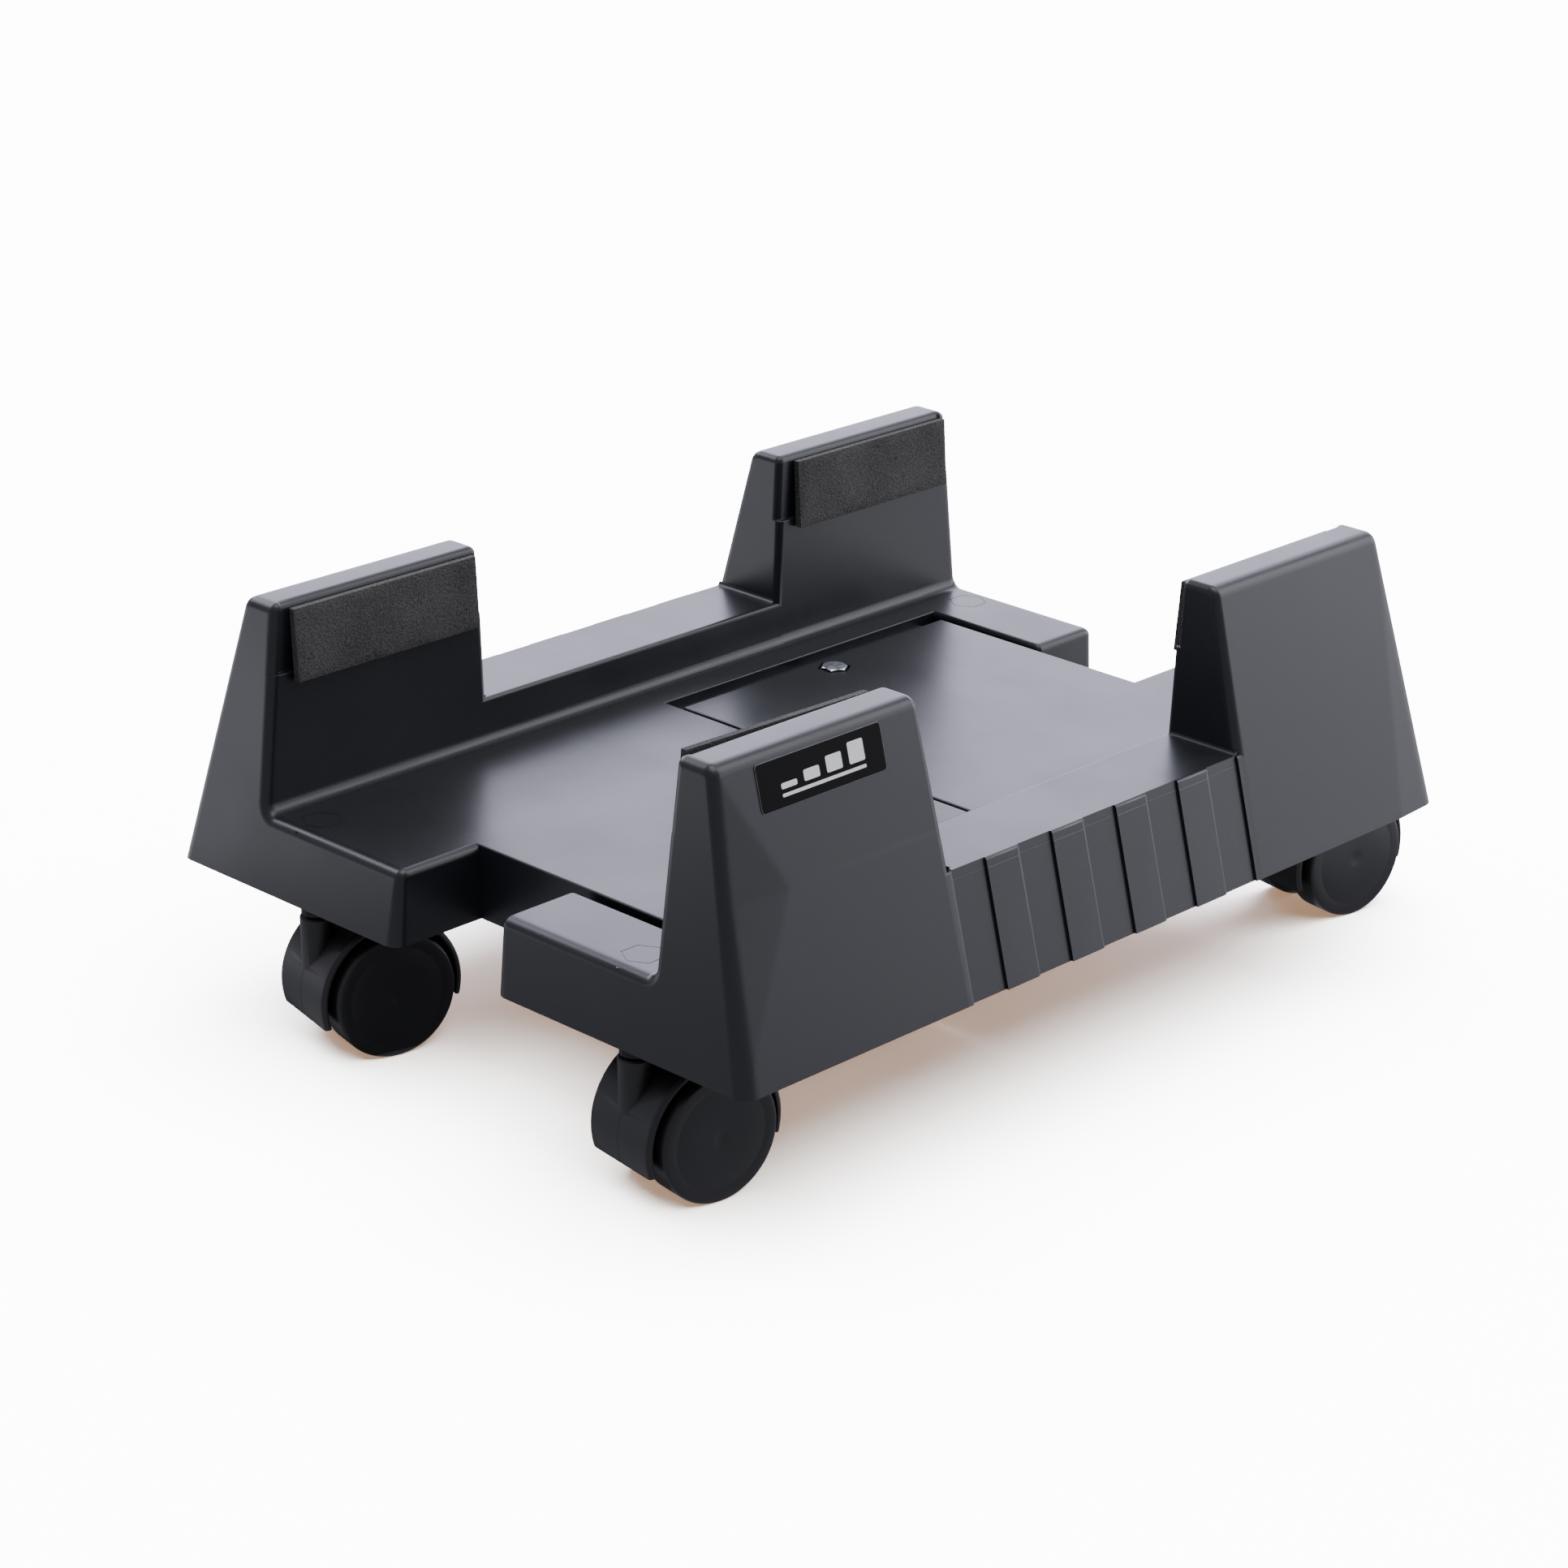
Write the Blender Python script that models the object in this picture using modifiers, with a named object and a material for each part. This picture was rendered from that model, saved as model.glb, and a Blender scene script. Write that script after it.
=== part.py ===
"""Adjustable computer-tower stand on four twin-wheel casters.

Two identical moulded halves, turned half a turn from each other about the vertical
axis, slide along X.  Each half has a wide tongue that lies on a slotted shelf of the
other half, and a bolt with a wing nut clamps tongue and shelf together.
Metres, +Z up, floor at Z = 0, origin under the middle of the overall box, which the
casters trailing behind the rear edge make longer at +Y.
"""
import math

import bmesh
import bpy
from mathutils import Matrix, Vector

MM = 0.001
FRAME_SHIFT_Y = -17.0   # from the middle of the mouldings to the middle of the overall box

# ---- moulded half (right-hand one, X > 0), millimetres --------------------------
BASE_X = 122.0          # outer wall at the bottom edge
BASE_Y = 158.0          # end wall at the bottom edge
BOTTOM_Z = 51.0         # bottom edge of the moulding
DECK_Z = 74.6           # top of the deck, the tongue and the feet
RAIL_Z = 89.0           # top of the low side rail
TOP_Z = 139.0           # top of the four towers
SIDE_SLOPE = 0.270      # outward lean of the outer wall, per unit of height
END_SLOPE = 0.111       # outward lean of the end walls
INNER_X = 83.3          # inner wall where it meets the deck
INNER_TOP_X = 84.3      # inner wall at the tower top, before the pad step
STEP_X = 85.2           # inner wall above the pad step
STEP_Z = 117.3          # height of the pad step
TOWER_LOW_Y = 65.0      # tower flank at the rail
TOWER_TOP_Y = 66.8      # tower flank at the top
FOOT_X = 21.4           # inner end of both feet
NOTCH_Y = 124.2         # outer edge of the tongue
FOOT_BACK_Y = 127.8     # back of the short foot
TONGUE_X = 62.8         # free end of the tongue (on the other side of the middle)
RECESS_X = 69.9         # edge of the deck strip the other tongue runs up to
SEAM_Y = 0.6            # half the gap between the two tongues
EDGE_ROUND = 2.4        # rounding of the outside edges
FILLET = 4.6            # fillet between deck and inner wall
WALL = 2.5
SKIN = 3.0              # thickness of the deck skin
FLUTE_STEP = 14.4       # width of one groove or rib on the outer wall of the rail
FLUTE_DEPTH = 1.0

# ---- sliding joint ---------------------------------------------------------------
SHELF_GAP = 0.35
SHELF_THICK = 3.0
SHELF_END_X = -28.0
SHELF_Y = (-121.2, -3.6)
SHELF_RIBS_Y = (-119.6, -82.0, -44.0, -5.2)
BOLT_X = -54.9          # bolt of the right half's tongue
BOLT_Y = 63.0
OPEN_TRAVEL = 65.0
CLOSE_TRAVEL = 6.8      # until the free end of the tongue meets the deck strip
POCKET_R = 5.4          # across-corners radius of the pocket for the bolt head
POCKET_DEPTH = 3.2
BOSS_R = 6.2            # guide boss under the pocket, runs in the slot
BOSS_DEPTH = 5.2
SLOT_HALF = 6.6
CLEARANCE_Y = 16.0      # half width of the window that lets the wing nut pass the strip wall

# ---- casters ---------------------------------------------------------------------
STEM_X = 69.0
STEM_Y = 148.2
TRAIL = 18.0
WHEEL_R = 20.0
HOOD_R = 24.0
HOOD_INNER_R = 22.0
HOOD_HALF = 14.2
HOOD_FRONT = -19.0      # lower end of the hood in front, degrees above the horizontal
HOOD_REAR = 194.0
WEB_HALF = 3.0
BOSS_TOP_Z = 44.8
WHEEL_IN = 5.9          # inner rim of a wheel, from the middle of the caster
WHEEL_OUT = 16.8        # outer face of a wheel
PIN_R = 3.0
AXLE_R = 2.0
RUNNING_GAP = 0.08      # radial play of the swivel on its pin and of a wheel on its axle
SOCKET_R = 4.0

MATERIALS = {
    "black_plastic": ((0.018, 0.020, 0.025), 0.42, 0.0),
    "caster_plastic": ((0.022, 0.022, 0.024), 0.50, 0.0),
    "wheel_plastic": ((0.014, 0.014, 0.015), 0.45, 0.0),
    "foam": ((0.030, 0.030, 0.030), 0.95, 0.0),
    "sticker": ((0.010, 0.010, 0.010), 0.30, 0.0),
    "zinc_steel": ((0.62, 0.64, 0.68), 0.32, 1.0),
    "dark_steel": ((0.055, 0.055, 0.058), 0.40, 1.0),
}


# ---- scene helpers ---------------------------------------------------------------
def reset_scene():
    for old in list(bpy.data.objects):
        bpy.data.objects.remove(old, do_unlink=True)
    part = bpy.data.collections.new("cpu_holder")
    bpy.context.scene.collection.children.link(part)
    return part


def make_materials():
    made = {}
    for name, (colour, roughness, metallic) in MATERIALS.items():
        mat = bpy.data.materials.new(name)
        mat.use_nodes = True
        shader = mat.node_tree.nodes["Principled BSDF"]
        shader.inputs["Base Color"].default_value = (*colour, 1.0)
        shader.inputs["Roughness"].default_value = roughness
        shader.inputs["Metallic"].default_value = metallic
        made[name] = mat
    return made


PART = reset_scene()
MATS = make_materials()


def object_from(bm, name):
    bmesh.ops.remove_doubles(bm, verts=bm.verts, dist=1e-7)
    bmesh.ops.recalc_face_normals(bm, faces=bm.faces)
    mesh = bpy.data.meshes.new(name)
    bm.to_mesh(mesh)
    bm.free()
    obj = bpy.data.objects.new(name, mesh)
    PART.objects.link(obj)
    return obj


def baked(obj):
    """Turn the modifiers of an object into plain mesh."""
    graph = bpy.context.evaluated_depsgraph_get()
    mesh = bpy.data.meshes.new_from_object(obj.evaluated_get(graph))
    obj.modifiers.clear()
    obj.data = mesh
    return obj


def prism(points, axis, low, high, name="prism"):
    """Polygon given in the two other axes (in order x, y, z), pushed along one axis."""
    bm = bmesh.new()
    place = {
        "x": lambda u, v, w: (w, u, v),
        "y": lambda u, v, w: (u, w, v),
        "z": lambda u, v, w: (u, v, w),
    }[axis]
    ends = []
    for level in (low, high):
        ends.append([bm.verts.new(Vector(place(u, v, level)) * MM) for u, v in points])
    bm.faces.new(ends[0])
    bm.faces.new(ends[1])
    count = len(points)
    for i in range(count):
        j = (i + 1) % count
        bm.faces.new((ends[0][i], ends[0][j], ends[1][j], ends[1][i]))
    return object_from(bm, name)


def box(x, y, z, name="box"):
    return prism([(x[0], y[0]), (x[1], y[0]), (x[1], y[1]), (x[0], y[1])], "z", z[0], z[1], name)


def turned(profile, axis, segments, name="turned"):
    """Closed profile of (radius, height) turned about an axis; radius 0 closes the ends."""
    bm = bmesh.new()
    rings = []
    for radius, height in profile:
        if radius == 0.0:
            rings.append([bm.verts.new((0.0, 0.0, height * MM))])
            continue
        ring = []
        for k in range(segments):
            a = 2.0 * math.pi * k / segments
            ring.append(bm.verts.new((radius * math.cos(a) * MM, radius * math.sin(a) * MM, height * MM)))
        rings.append(ring)
    pairs = list(zip(rings, rings[1:]))
    if profile[0][0] > 0.0:
        pairs.append((rings[-1], rings[0]))
    for low, high in pairs:
        for k in range(segments):
            n = (k + 1) % segments
            if len(low) == 1:
                bm.faces.new((low[0], high[k], high[n]))
            elif len(high) == 1:
                bm.faces.new((low[k], low[n], high[0]))
            else:
                bm.faces.new((low[k], low[n], high[n], high[k]))
    if axis == "x":
        bmesh.ops.rotate(bm, verts=bm.verts, matrix=Matrix.Rotation(math.radians(90.0), 3, "Y"))
    return object_from(bm, name)


def combine(target, tool, operation):
    mod = target.modifiers.new("combine", "BOOLEAN")
    mod.solver = "EXACT"
    mod.operation = operation
    mod.object = tool
    baked(target)
    bpy.data.objects.remove(tool, do_unlink=True)
    return target


def rounded(obj, width, segments=2, angle=35.0):
    mod = obj.modifiers.new("round", "BEVEL")
    mod.width = width * MM
    mod.segments = segments
    mod.limit_method = "ANGLE"
    mod.angle_limit = math.radians(angle)
    mod.use_clamp_overlap = True
    return baked(obj)


def moved(obj, x=0.0, y=0.0, z=0.0, turn=0.0):
    """Turn a mesh about Z, then shift it; the data moves, the origin stays."""
    obj.data.transform(Matrix.Translation(Vector((x, y, z)) * MM) @ Matrix.Rotation(turn, 4, "Z"))
    return obj


def finish(obj, name, material, pivot=(0.0, 0.0, 0.0), sharp=30.0, smooth=True):
    obj.name = name
    obj.data.name = name
    obj.data.materials.clear()
    obj.data.materials.append(MATS[material])
    if smooth:
        obj.data.shade_smooth()
        obj.data.set_sharp_from_angle(angle=math.radians(sharp))
    point = Vector(pivot) * MM
    obj.data.transform(Matrix.Translation(-point))
    obj.location = point + Vector((0.0, FRAME_SHIFT_Y, 0.0)) * MM
    return obj


# ---- the moulded half ------------------------------------------------------------
def side_x(z, inset=0.0):
    return BASE_X - inset - SIDE_SLOPE * (z - BOTTOM_Z)


def end_y(z, inset=0.0):
    return BASE_Y - inset - END_SLOPE * (z - BOTTOM_Z)


def side_solid(inset, low_z):
    """Rail with its two towers; the same shape, inset, is the hollow inside it."""
    top = TOP_Z - inset
    lean = inset * 1.04
    section = [
        (INNER_X + inset, low_z),
        (side_x(low_z, lean), low_z),
        (side_x(top, lean), top),
        (INNER_TOP_X + (inset + 0.9 if inset else 0.0), top),
        (INNER_X + inset, DECK_Z),
    ]
    rail = RAIL_Z - inset
    profile = [
        (-end_y(low_z, inset), low_z),
        (end_y(low_z, inset), low_z),
        (end_y(top, inset), top),
        (TOWER_TOP_Y + inset, top),
        (TOWER_LOW_Y + inset, rail),
        (-TOWER_LOW_Y - inset, rail),
        (-TOWER_TOP_Y - inset, top),
        (-end_y(top, inset), top),
    ]
    body = prism(section, "y", -175.0, 175.0)
    return combine(body, prism(profile, "x", 50.0, 150.0), "INTERSECT")


def deck_solid(inset, low_z):
    """Feet, deck and tongue in plan, cut off by the sloping end walls."""
    top = DECK_Z if inset == 0.0 else DECK_Z - SKIN
    reach = 105.0
    far = 175.0
    tongue_end = -TONGUE_X if inset == 0.0 else -TONGUE_X - 8.0
    plan = [
        (FOOT_X + inset, -far),
        (reach, -far),
        (reach, far),
        (FOOT_X + inset, far),
        (FOOT_X + inset, NOTCH_Y - inset),
        (tongue_end, NOTCH_Y - inset),
        (tongue_end, SEAM_Y + inset),
        (RECESS_X + inset, SEAM_Y + inset),
        (RECESS_X + inset, -FOOT_BACK_Y - inset),
        (FOOT_X + inset, -FOOT_BACK_Y - inset),
    ]
    body = prism(plan, "z", low_z, top)
    ends = [
        (-end_y(low_z, inset), low_z),
        (end_y(low_z, inset), low_z),
        (end_y(top + 5.0, inset), top + 5.0),
        (-end_y(top + 5.0, inset), top + 5.0),
    ]
    return combine(body, prism(ends, "x", -120.0, 150.0), "INTERSECT")


def fillet_strip():
    """Concave fillet where the deck runs up into the inner wall."""
    points = [(INNER_X + 4.0, DECK_Z - 1.0), (INNER_X - FILLET, DECK_Z - 1.0)]
    for k in range(5):
        a = math.radians(-90.0 + 22.5 * k)
        x = INNER_X - FILLET + FILLET * math.cos(a)
        points.append((x, DECK_Z + FILLET + FILLET * math.sin(a)))
    points.append((INNER_X + 4.0, DECK_Z + FILLET))
    body = prism(points, "y", -165.0, 165.0)
    low, high = DECK_Z - 3.0, DECK_Z + 8.0
    inset = 0.25
    ends = [(-end_y(low, inset), low), (end_y(low, inset), low), (end_y(high, inset), high), (-end_y(high, inset), high)]
    return combine(body, prism(ends, "x", 60.0, 110.0), "INTERSECT")


def half_mesh():
    deep = BOTTOM_Z - 8.0
    body = rounded(side_solid(0.0, deep), EDGE_ROUND)
    deck = rounded(deck_solid(0.0, deep), EDGE_ROUND * 0.8)
    combine(body, deck, "UNION")
    combine(body, fillet_strip(), "UNION")

    # step for the foam pads, and the flutes of the rail
    combine(body, box((60.0, STEP_X), (-170.0, 170.0), (STEP_Z, TOP_Z + 5.0)), "DIFFERENCE")
    for k in range(5):
        low = -4.5 * FLUTE_STEP + 2.0 * FLUTE_STEP * k
        wall = [
            (side_x(40.0, FLUTE_DEPTH), 40.0),
            (side_x(40.0) + 6.0, 40.0),
            (side_x(100.0) + 6.0, 100.0),
            (side_x(100.0, FLUTE_DEPTH), 100.0),
        ]
        combine(body, prism(wall, "y", low, low + FLUTE_STEP), "DIFFERENCE")

    # hollow underside, with ribs left standing
    hollow = side_solid(WALL, deep - 2.0)
    for y in (-107.0, -28.8, 28.8, 107.0):
        combine(hollow, box((60.0, 130.0), (y - 1.0, y + 1.0), (BOTTOM_Z + 4.0, TOP_Z)), "DIFFERENCE")
    under = deck_solid(WALL, deep - 2.0)
    for y in (-144.0, 144.0):
        combine(under, box((43.5, 45.5), (y - 20.0, y + 20.0), (BOTTOM_Z + 4.0, DECK_Z)), "DIFFERENCE")
    for y in (-28.8, 28.8):
        combine(under, box((78.0, 130.0), (y - 1.0, y + 1.0), (BOTTOM_Z + 4.0, DECK_Z)), "DIFFERENCE")
    combine(body, under, "DIFFERENCE")
    combine(body, hollow, "DIFFERENCE")
    combine(body, box((-200.0, 200.0), (-200.0, 200.0), (deep - 20.0, BOTTOM_Z)), "DIFFERENCE")

    # slotted shelf under the tongue of the other half
    top = DECK_Z - SKIN - SHELF_GAP
    bottom = top - SHELF_THICK
    shelf = box((SHELF_END_X, RECESS_X + 1.2), SHELF_Y, (bottom, top))
    for y in SHELF_RIBS_Y:
        rib = box((SHELF_END_X + 1.0, RECESS_X + 1.2), (y - 1.0, y + 1.0), (bottom - 8.0, bottom + 1.0))
        combine(shelf, rib, "UNION")
    combine(body, shelf, "UNION")
    slot_low = -BOLT_X - OPEN_TRAVEL
    slot_high = -BOLT_X + CLOSE_TRAVEL
    slot = []
    for k in range(9):
        a = math.radians(-90.0 + 22.5 * k)
        slot.append((slot_high + SLOT_HALF * math.cos(a), -BOLT_Y + SLOT_HALF * math.sin(a)))
    for k in range(9):
        a = math.radians(90.0 + 22.5 * k)
        slot.append((slot_low + SLOT_HALF * math.cos(a), -BOLT_Y + SLOT_HALF * math.sin(a)))
    combine(body, prism(slot, "z", bottom - 3.0, top + 1.0), "DIFFERENCE")

    # window in the strip wall, for the washer and wing nut at the narrowest setting
    window_y = (-BOLT_Y - CLEARANCE_Y, -BOLT_Y + CLEARANCE_Y)
    window = box((RECESS_X - 1.0, RECESS_X + WALL + 1.1), window_y, (BOTTOM_Z - 1.0, bottom))
    combine(body, window, "DIFFERENCE")

    # bolt boss with its hexagonal pocket
    boss = turned([(0.0, DECK_Z - BOSS_DEPTH), (BOSS_R, DECK_Z - BOSS_DEPTH), (BOSS_R, DECK_Z - 1.0), (0.0, DECK_Z - 1.0)], "z", 24)
    combine(body, moved(boss, BOLT_X, BOLT_Y), "UNION")
    pocket = turned([(0.0, DECK_Z - POCKET_DEPTH), (POCKET_R, DECK_Z - POCKET_DEPTH), (POCKET_R, DECK_Z + 1.0), (0.0, DECK_Z + 1.0)], "z", 6)
    combine(body, moved(pocket, BOLT_X, BOLT_Y), "DIFFERENCE")
    hole = turned([(0.0, DECK_Z - 9.0), (2.9, DECK_Z - 9.0), (2.9, DECK_Z), (0.0, DECK_Z)], "z", 16)
    combine(body, moved(hole, BOLT_X, BOLT_Y), "DIFFERENCE")

    # hexagonal caster sockets
    for side in (-1.0, 1.0):
        socket = turned([(0.0, BOTTOM_Z + 2.0), (7.1, BOTTOM_Z + 2.0), (7.1, DECK_Z - 1.0), (0.0, DECK_Z - 1.0)], "z", 6)
        combine(body, moved(socket, STEM_X, side * STEM_Y, turn=math.radians(30.0)), "UNION")
        bore = turned([(0.0, 40.0), (SOCKET_R, 40.0), (SOCKET_R, 70.6), (0.0, 70.6)], "z", 20)
        combine(body, moved(bore, STEM_X, side * STEM_Y), "DIFFERENCE")
    return body


def build_halves():
    right = half_mesh()
    left = right.copy()
    left.data = right.data.copy()
    PART.objects.link(left)
    left.data.transform(Matrix.Rotation(math.pi, 4, "Z"))
    finish(right, "right_half", "black_plastic", (BASE_X - 20.0, 0.0, BOTTOM_Z))
    finish(left, "left_half", "black_plastic", (-BASE_X + 20.0, 0.0, BOTTOM_Z))


# ---- pads and label --------------------------------------------------------------
def build_pads():
    """Foam pads, leaning because their lower edge sits below the step; one is stuck on
    higher and askew, given by how far its front and rear ends are lifted."""
    section = [(83.45, 114.3), (80.6, 114.3), (82.4, 136.9), (84.8, 136.9)]
    spans = {
        "pad_left_front": (-1.0, -142.1, -69.9, 0.0, 0.0),
        "pad_left_rear": (-1.0, 73.5, 145.7, 0.0, 0.0),
        "pad_right_front": (1.0, -144.3, -72.1, 2.6, 1.1),
        "pad_right_rear": (1.0, 69.9, 142.1, 0.0, 0.0),
    }
    for name, (side, low, high, lift_low, lift_high) in spans.items():
        points = [(side * x, z) for x, z in section]
        pad = prism(points, "y", low, high)
        for vertex in pad.data.vertices:
            share = (vertex.co.y / MM - low) / (high - low)
            vertex.co.z += (lift_low + (lift_high - lift_low) * share) * MM
        finish(pad, name, "foam", (side * 83.0, 0.5 * (low + high), 124.0), smooth=False)


def build_label():
    """Rectangular sticker on the outer wall of the front right tower."""
    low, high = 122.6, 136.0
    points = [
        (side_x(low) + 0.10, low),
        (side_x(low) + 0.45, low),
        (side_x(high) + 0.45, high),
        (side_x(high) + 0.10, high),
    ]
    label = prism(points, "y", -133.0, -83.5)
    finish(label, "label", "sticker", (side_x(129.0), -108.2, 129.0), smooth=False)


# ---- clamping bolts --------------------------------------------------------------
def wing_nut_mesh():
    top = DECK_Z - 8.3
    hub = turned([(2.9, top), (2.9, top - 5.5), (5.2, top - 5.5), (6.0, top - 1.0), (6.0, top)], "z", 20)
    wing = [
        (4.6, top - 0.8), (8.0, top - 1.6), (12.6, top - 6.0), (13.4, top - 9.4),
        (11.4, top - 11.0), (8.6, top - 9.0), (4.6, top - 5.0),
    ]
    for side in (-1.0, 1.0):
        blade = prism([(side * x, z) for x, z in wing], "y", -1.0, 1.0)
        combine(hub, blade, "UNION")
    return hub


def build_clamps():
    head_low = DECK_Z - POCKET_DEPTH + 0.3
    for name, side in (("right", 1.0), ("left", -1.0)):
        x, y = side * BOLT_X, side * BOLT_Y
        bolt = turned([(0.0, head_low), (4.6, head_low), (4.6, head_low + 3.1), (4.1, head_low + 3.5), (0.0, head_low + 3.5)], "z", 6)
        shank = turned([(0.0, DECK_Z - 18.6), (2.1, DECK_Z - 18.6), (2.5, DECK_Z - 18.1), (2.5, head_low + 1.0), (0.0, head_low + 1.0)], "z", 16)
        combine(bolt, shank, "UNION")
        finish(moved(bolt, x, y), "bolt_" + name, "zinc_steel", (x, y, DECK_Z))
        shelf_low = DECK_Z - SKIN - SHELF_GAP - SHELF_THICK
        washer = turned([(2.9, shelf_low - 1.5), (10.0, shelf_low - 1.5), (10.0, shelf_low - 0.3), (2.9, shelf_low - 0.3)], "z", 28)
        finish(moved(washer, x, y), "washer_" + name, "zinc_steel", (x, y, shelf_low - 0.9))
        nut = wing_nut_mesh()
        finish(moved(nut, x, y, turn=math.radians(90.0)), "wing_nut_" + name, "zinc_steel", (x, y, DECK_Z - 11.0))


# ---- casters ---------------------------------------------------------------------
def hood_mesh():
    """Fender over both wheels, middle web with the axle hub, and the stem boss."""
    steps = 18
    arc = []
    for k in range(steps + 1):
        a = math.radians(HOOD_FRONT + (HOOD_REAR - HOOD_FRONT) * k / steps)
        arc.append((-math.cos(a), math.sin(a)))
    shell = [(TRAIL + HOOD_R * u, WHEEL_R + HOOD_R * v) for u, v in arc]
    shell += [(TRAIL + HOOD_INNER_R * u, WHEEL_R + HOOD_INNER_R * v) for u, v in reversed(arc)]
    body = prism(shell, "x", -HOOD_HALF, HOOD_HALF)
    mid = HOOD_R - 1.0
    web = [(TRAIL + mid * u, WHEEL_R + mid * v) for u, v in arc]
    for k in range(7):
        a = math.radians(-30.0 - 20.0 * k)
        web.append((TRAIL + 7.0 * math.cos(a), WHEEL_R + 7.0 * math.sin(a)))
    combine(body, prism(web, "x", -WEB_HALF, WEB_HALF), "UNION")
    boss = turned([(0.0, 19.0), (4.5, 19.0), (5.1, BOSS_TOP_Z), (0.0, BOSS_TOP_Z)], "z", 20)
    combine(body, boss, "UNION")
    bore_r = PIN_R + RUNNING_GAP
    bore = turned([(0.0, 23.0), (bore_r, 23.0), (bore_r, 60.0), (0.0, 60.0)], "z", 24)
    combine(body, bore, "DIFFERENCE")
    hole_r = AXLE_R + 0.3
    hole = turned([(0.0, -6.0), (hole_r, -6.0), (hole_r, 6.0), (0.0, 6.0)], "x", 16)
    combine(body, moved(hole, 0.0, TRAIL, WHEEL_R), "DIFFERENCE")
    return body


def wheel_mesh(side):
    """Cup-shaped wheel: closed outer disc, tread rim and a blind hub."""
    bore_r = AXLE_R + RUNNING_GAP
    profile = [
        (bore_r, 3.4), (bore_r, 15.3), (0.0, 15.3), (0.0, WHEEL_OUT), (WHEEL_R - 1.0, WHEEL_OUT),
        (WHEEL_R - 0.3, WHEEL_OUT - 0.3), (WHEEL_R, WHEEL_OUT - 1.0), (WHEEL_R, WHEEL_IN + 0.5),
        (WHEEL_R - 0.5, WHEEL_IN), (17.6, WHEEL_IN), (17.4, 14.6), (4.4, 14.6), (4.2, 3.4),
    ]
    bm = bmesh.new()
    segments = 40
    rings = []
    for radius, depth in profile:
        if radius == 0.0:
            rings.append([bm.verts.new((depth * MM, 0.0, 0.0))])
            continue
        ring = []
        for k in range(segments):
            a = 2.0 * math.pi * (k + 0.5) / segments
            ring.append(bm.verts.new((depth * MM, radius * math.cos(a) * MM, radius * math.sin(a) * MM)))
        rings.append(ring)
    for i, low in enumerate(rings):
        high = rings[(i + 1) % len(rings)]
        if len(low) == 1 and len(high) == 1:
            continue
        for k in range(segments):
            n = (k + 1) % segments
            if len(low) == 1:
                bm.faces.new((low[0], high[k], high[n]))
            elif len(high) == 1:
                bm.faces.new((low[k], low[n], high[0]))
            else:
                bm.faces.new((low[k], low[n], high[n], high[k]))
    if side < 0.0:
        bmesh.ops.scale(bm, verts=bm.verts, vec=(-1.0, 1.0, 1.0))
    obj = object_from(bm, "wheel")
    return moved(obj, 0.0, TRAIL, WHEEL_R)


def pin_mesh():
    groove = 2.4
    return turned([
        (0.0, 23.4), (2.6, 23.4), (PIN_R, 23.9), (PIN_R, 45.6), (4.6, 45.6), (4.6, 47.4), (PIN_R, 47.4),
        (PIN_R, 60.0), (groove, 60.0), (groove, 66.0), (PIN_R, 66.0), (PIN_R, 68.4), (2.2, 69.8), (0.0, 69.8),
    ], "z", 16)


def ring_mesh():
    """Split spring ring that holds the pin in its socket."""
    outline = []
    for radius, order in ((3.6, range(17)), (2.7, range(16, -1, -1))):
        for k in order:
            a = math.radians(20.0 + 20.0 * k)
            outline.append((radius * math.cos(a), radius * math.sin(a)))
    return prism(outline, "z", 60.4, 65.6)


def build_casters():
    places = {
        "front_right": (1.0, -1.0, -8.0),
        "front_left": (-1.0, -1.0, -12.9),
        "rear_right": (1.0, 1.0, -9.0),
        "rear_left": (-1.0, 1.0, -10.0),
    }
    for name, (sx, sy, degrees) in places.items():
        x, y, turn = sx * STEM_X, sy * STEM_Y, math.radians(degrees)
        tag = "caster_" + name
        hub_x = x - TRAIL * math.sin(turn)
        hub_y = y + TRAIL * math.cos(turn)
        finish(moved(hood_mesh(), x, y, turn=turn), tag + "_hood", "caster_plastic", (x, y, BOSS_TOP_Z))
        finish(moved(pin_mesh(), x, y, turn=turn), tag + "_pin", "dark_steel", (x, y, 50.0))
        finish(moved(ring_mesh(), x, y, turn=turn), tag + "_grip_ring", "dark_steel", (x, y, 63.0))
        axle = turned([(0.0, -15.0), (AXLE_R, -15.0), (AXLE_R, 15.0), (0.0, 15.0)], "x", 16)
        moved(axle, 0.0, TRAIL, WHEEL_R)
        finish(moved(axle, x, y, turn=turn), tag + "_axle", "dark_steel", (hub_x, hub_y, WHEEL_R))
        for label, side in (("right", 1.0), ("left", -1.0)):
            wheel = moved(wheel_mesh(side), x, y, turn=turn)
            finish(wheel, tag + "_wheel_" + label, "wheel_plastic", (hub_x, hub_y, WHEEL_R))


build_halves()
build_pads()
build_label()
build_clamps()
build_casters()
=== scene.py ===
"""Looks of the rolling computer-tower stand: fine meshes and procedural materials.

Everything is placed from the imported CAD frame.  Lengths below are millimetres unless a
name says otherwise; the script works in the stand's own axes (+X across, +Y along, +Z up),
with zero in Y at the middle of the mouldings, and shifts to the frame's origin at the end.
"""
import math

import bmesh
import bpy
from mathutils import Matrix, Vector


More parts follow.
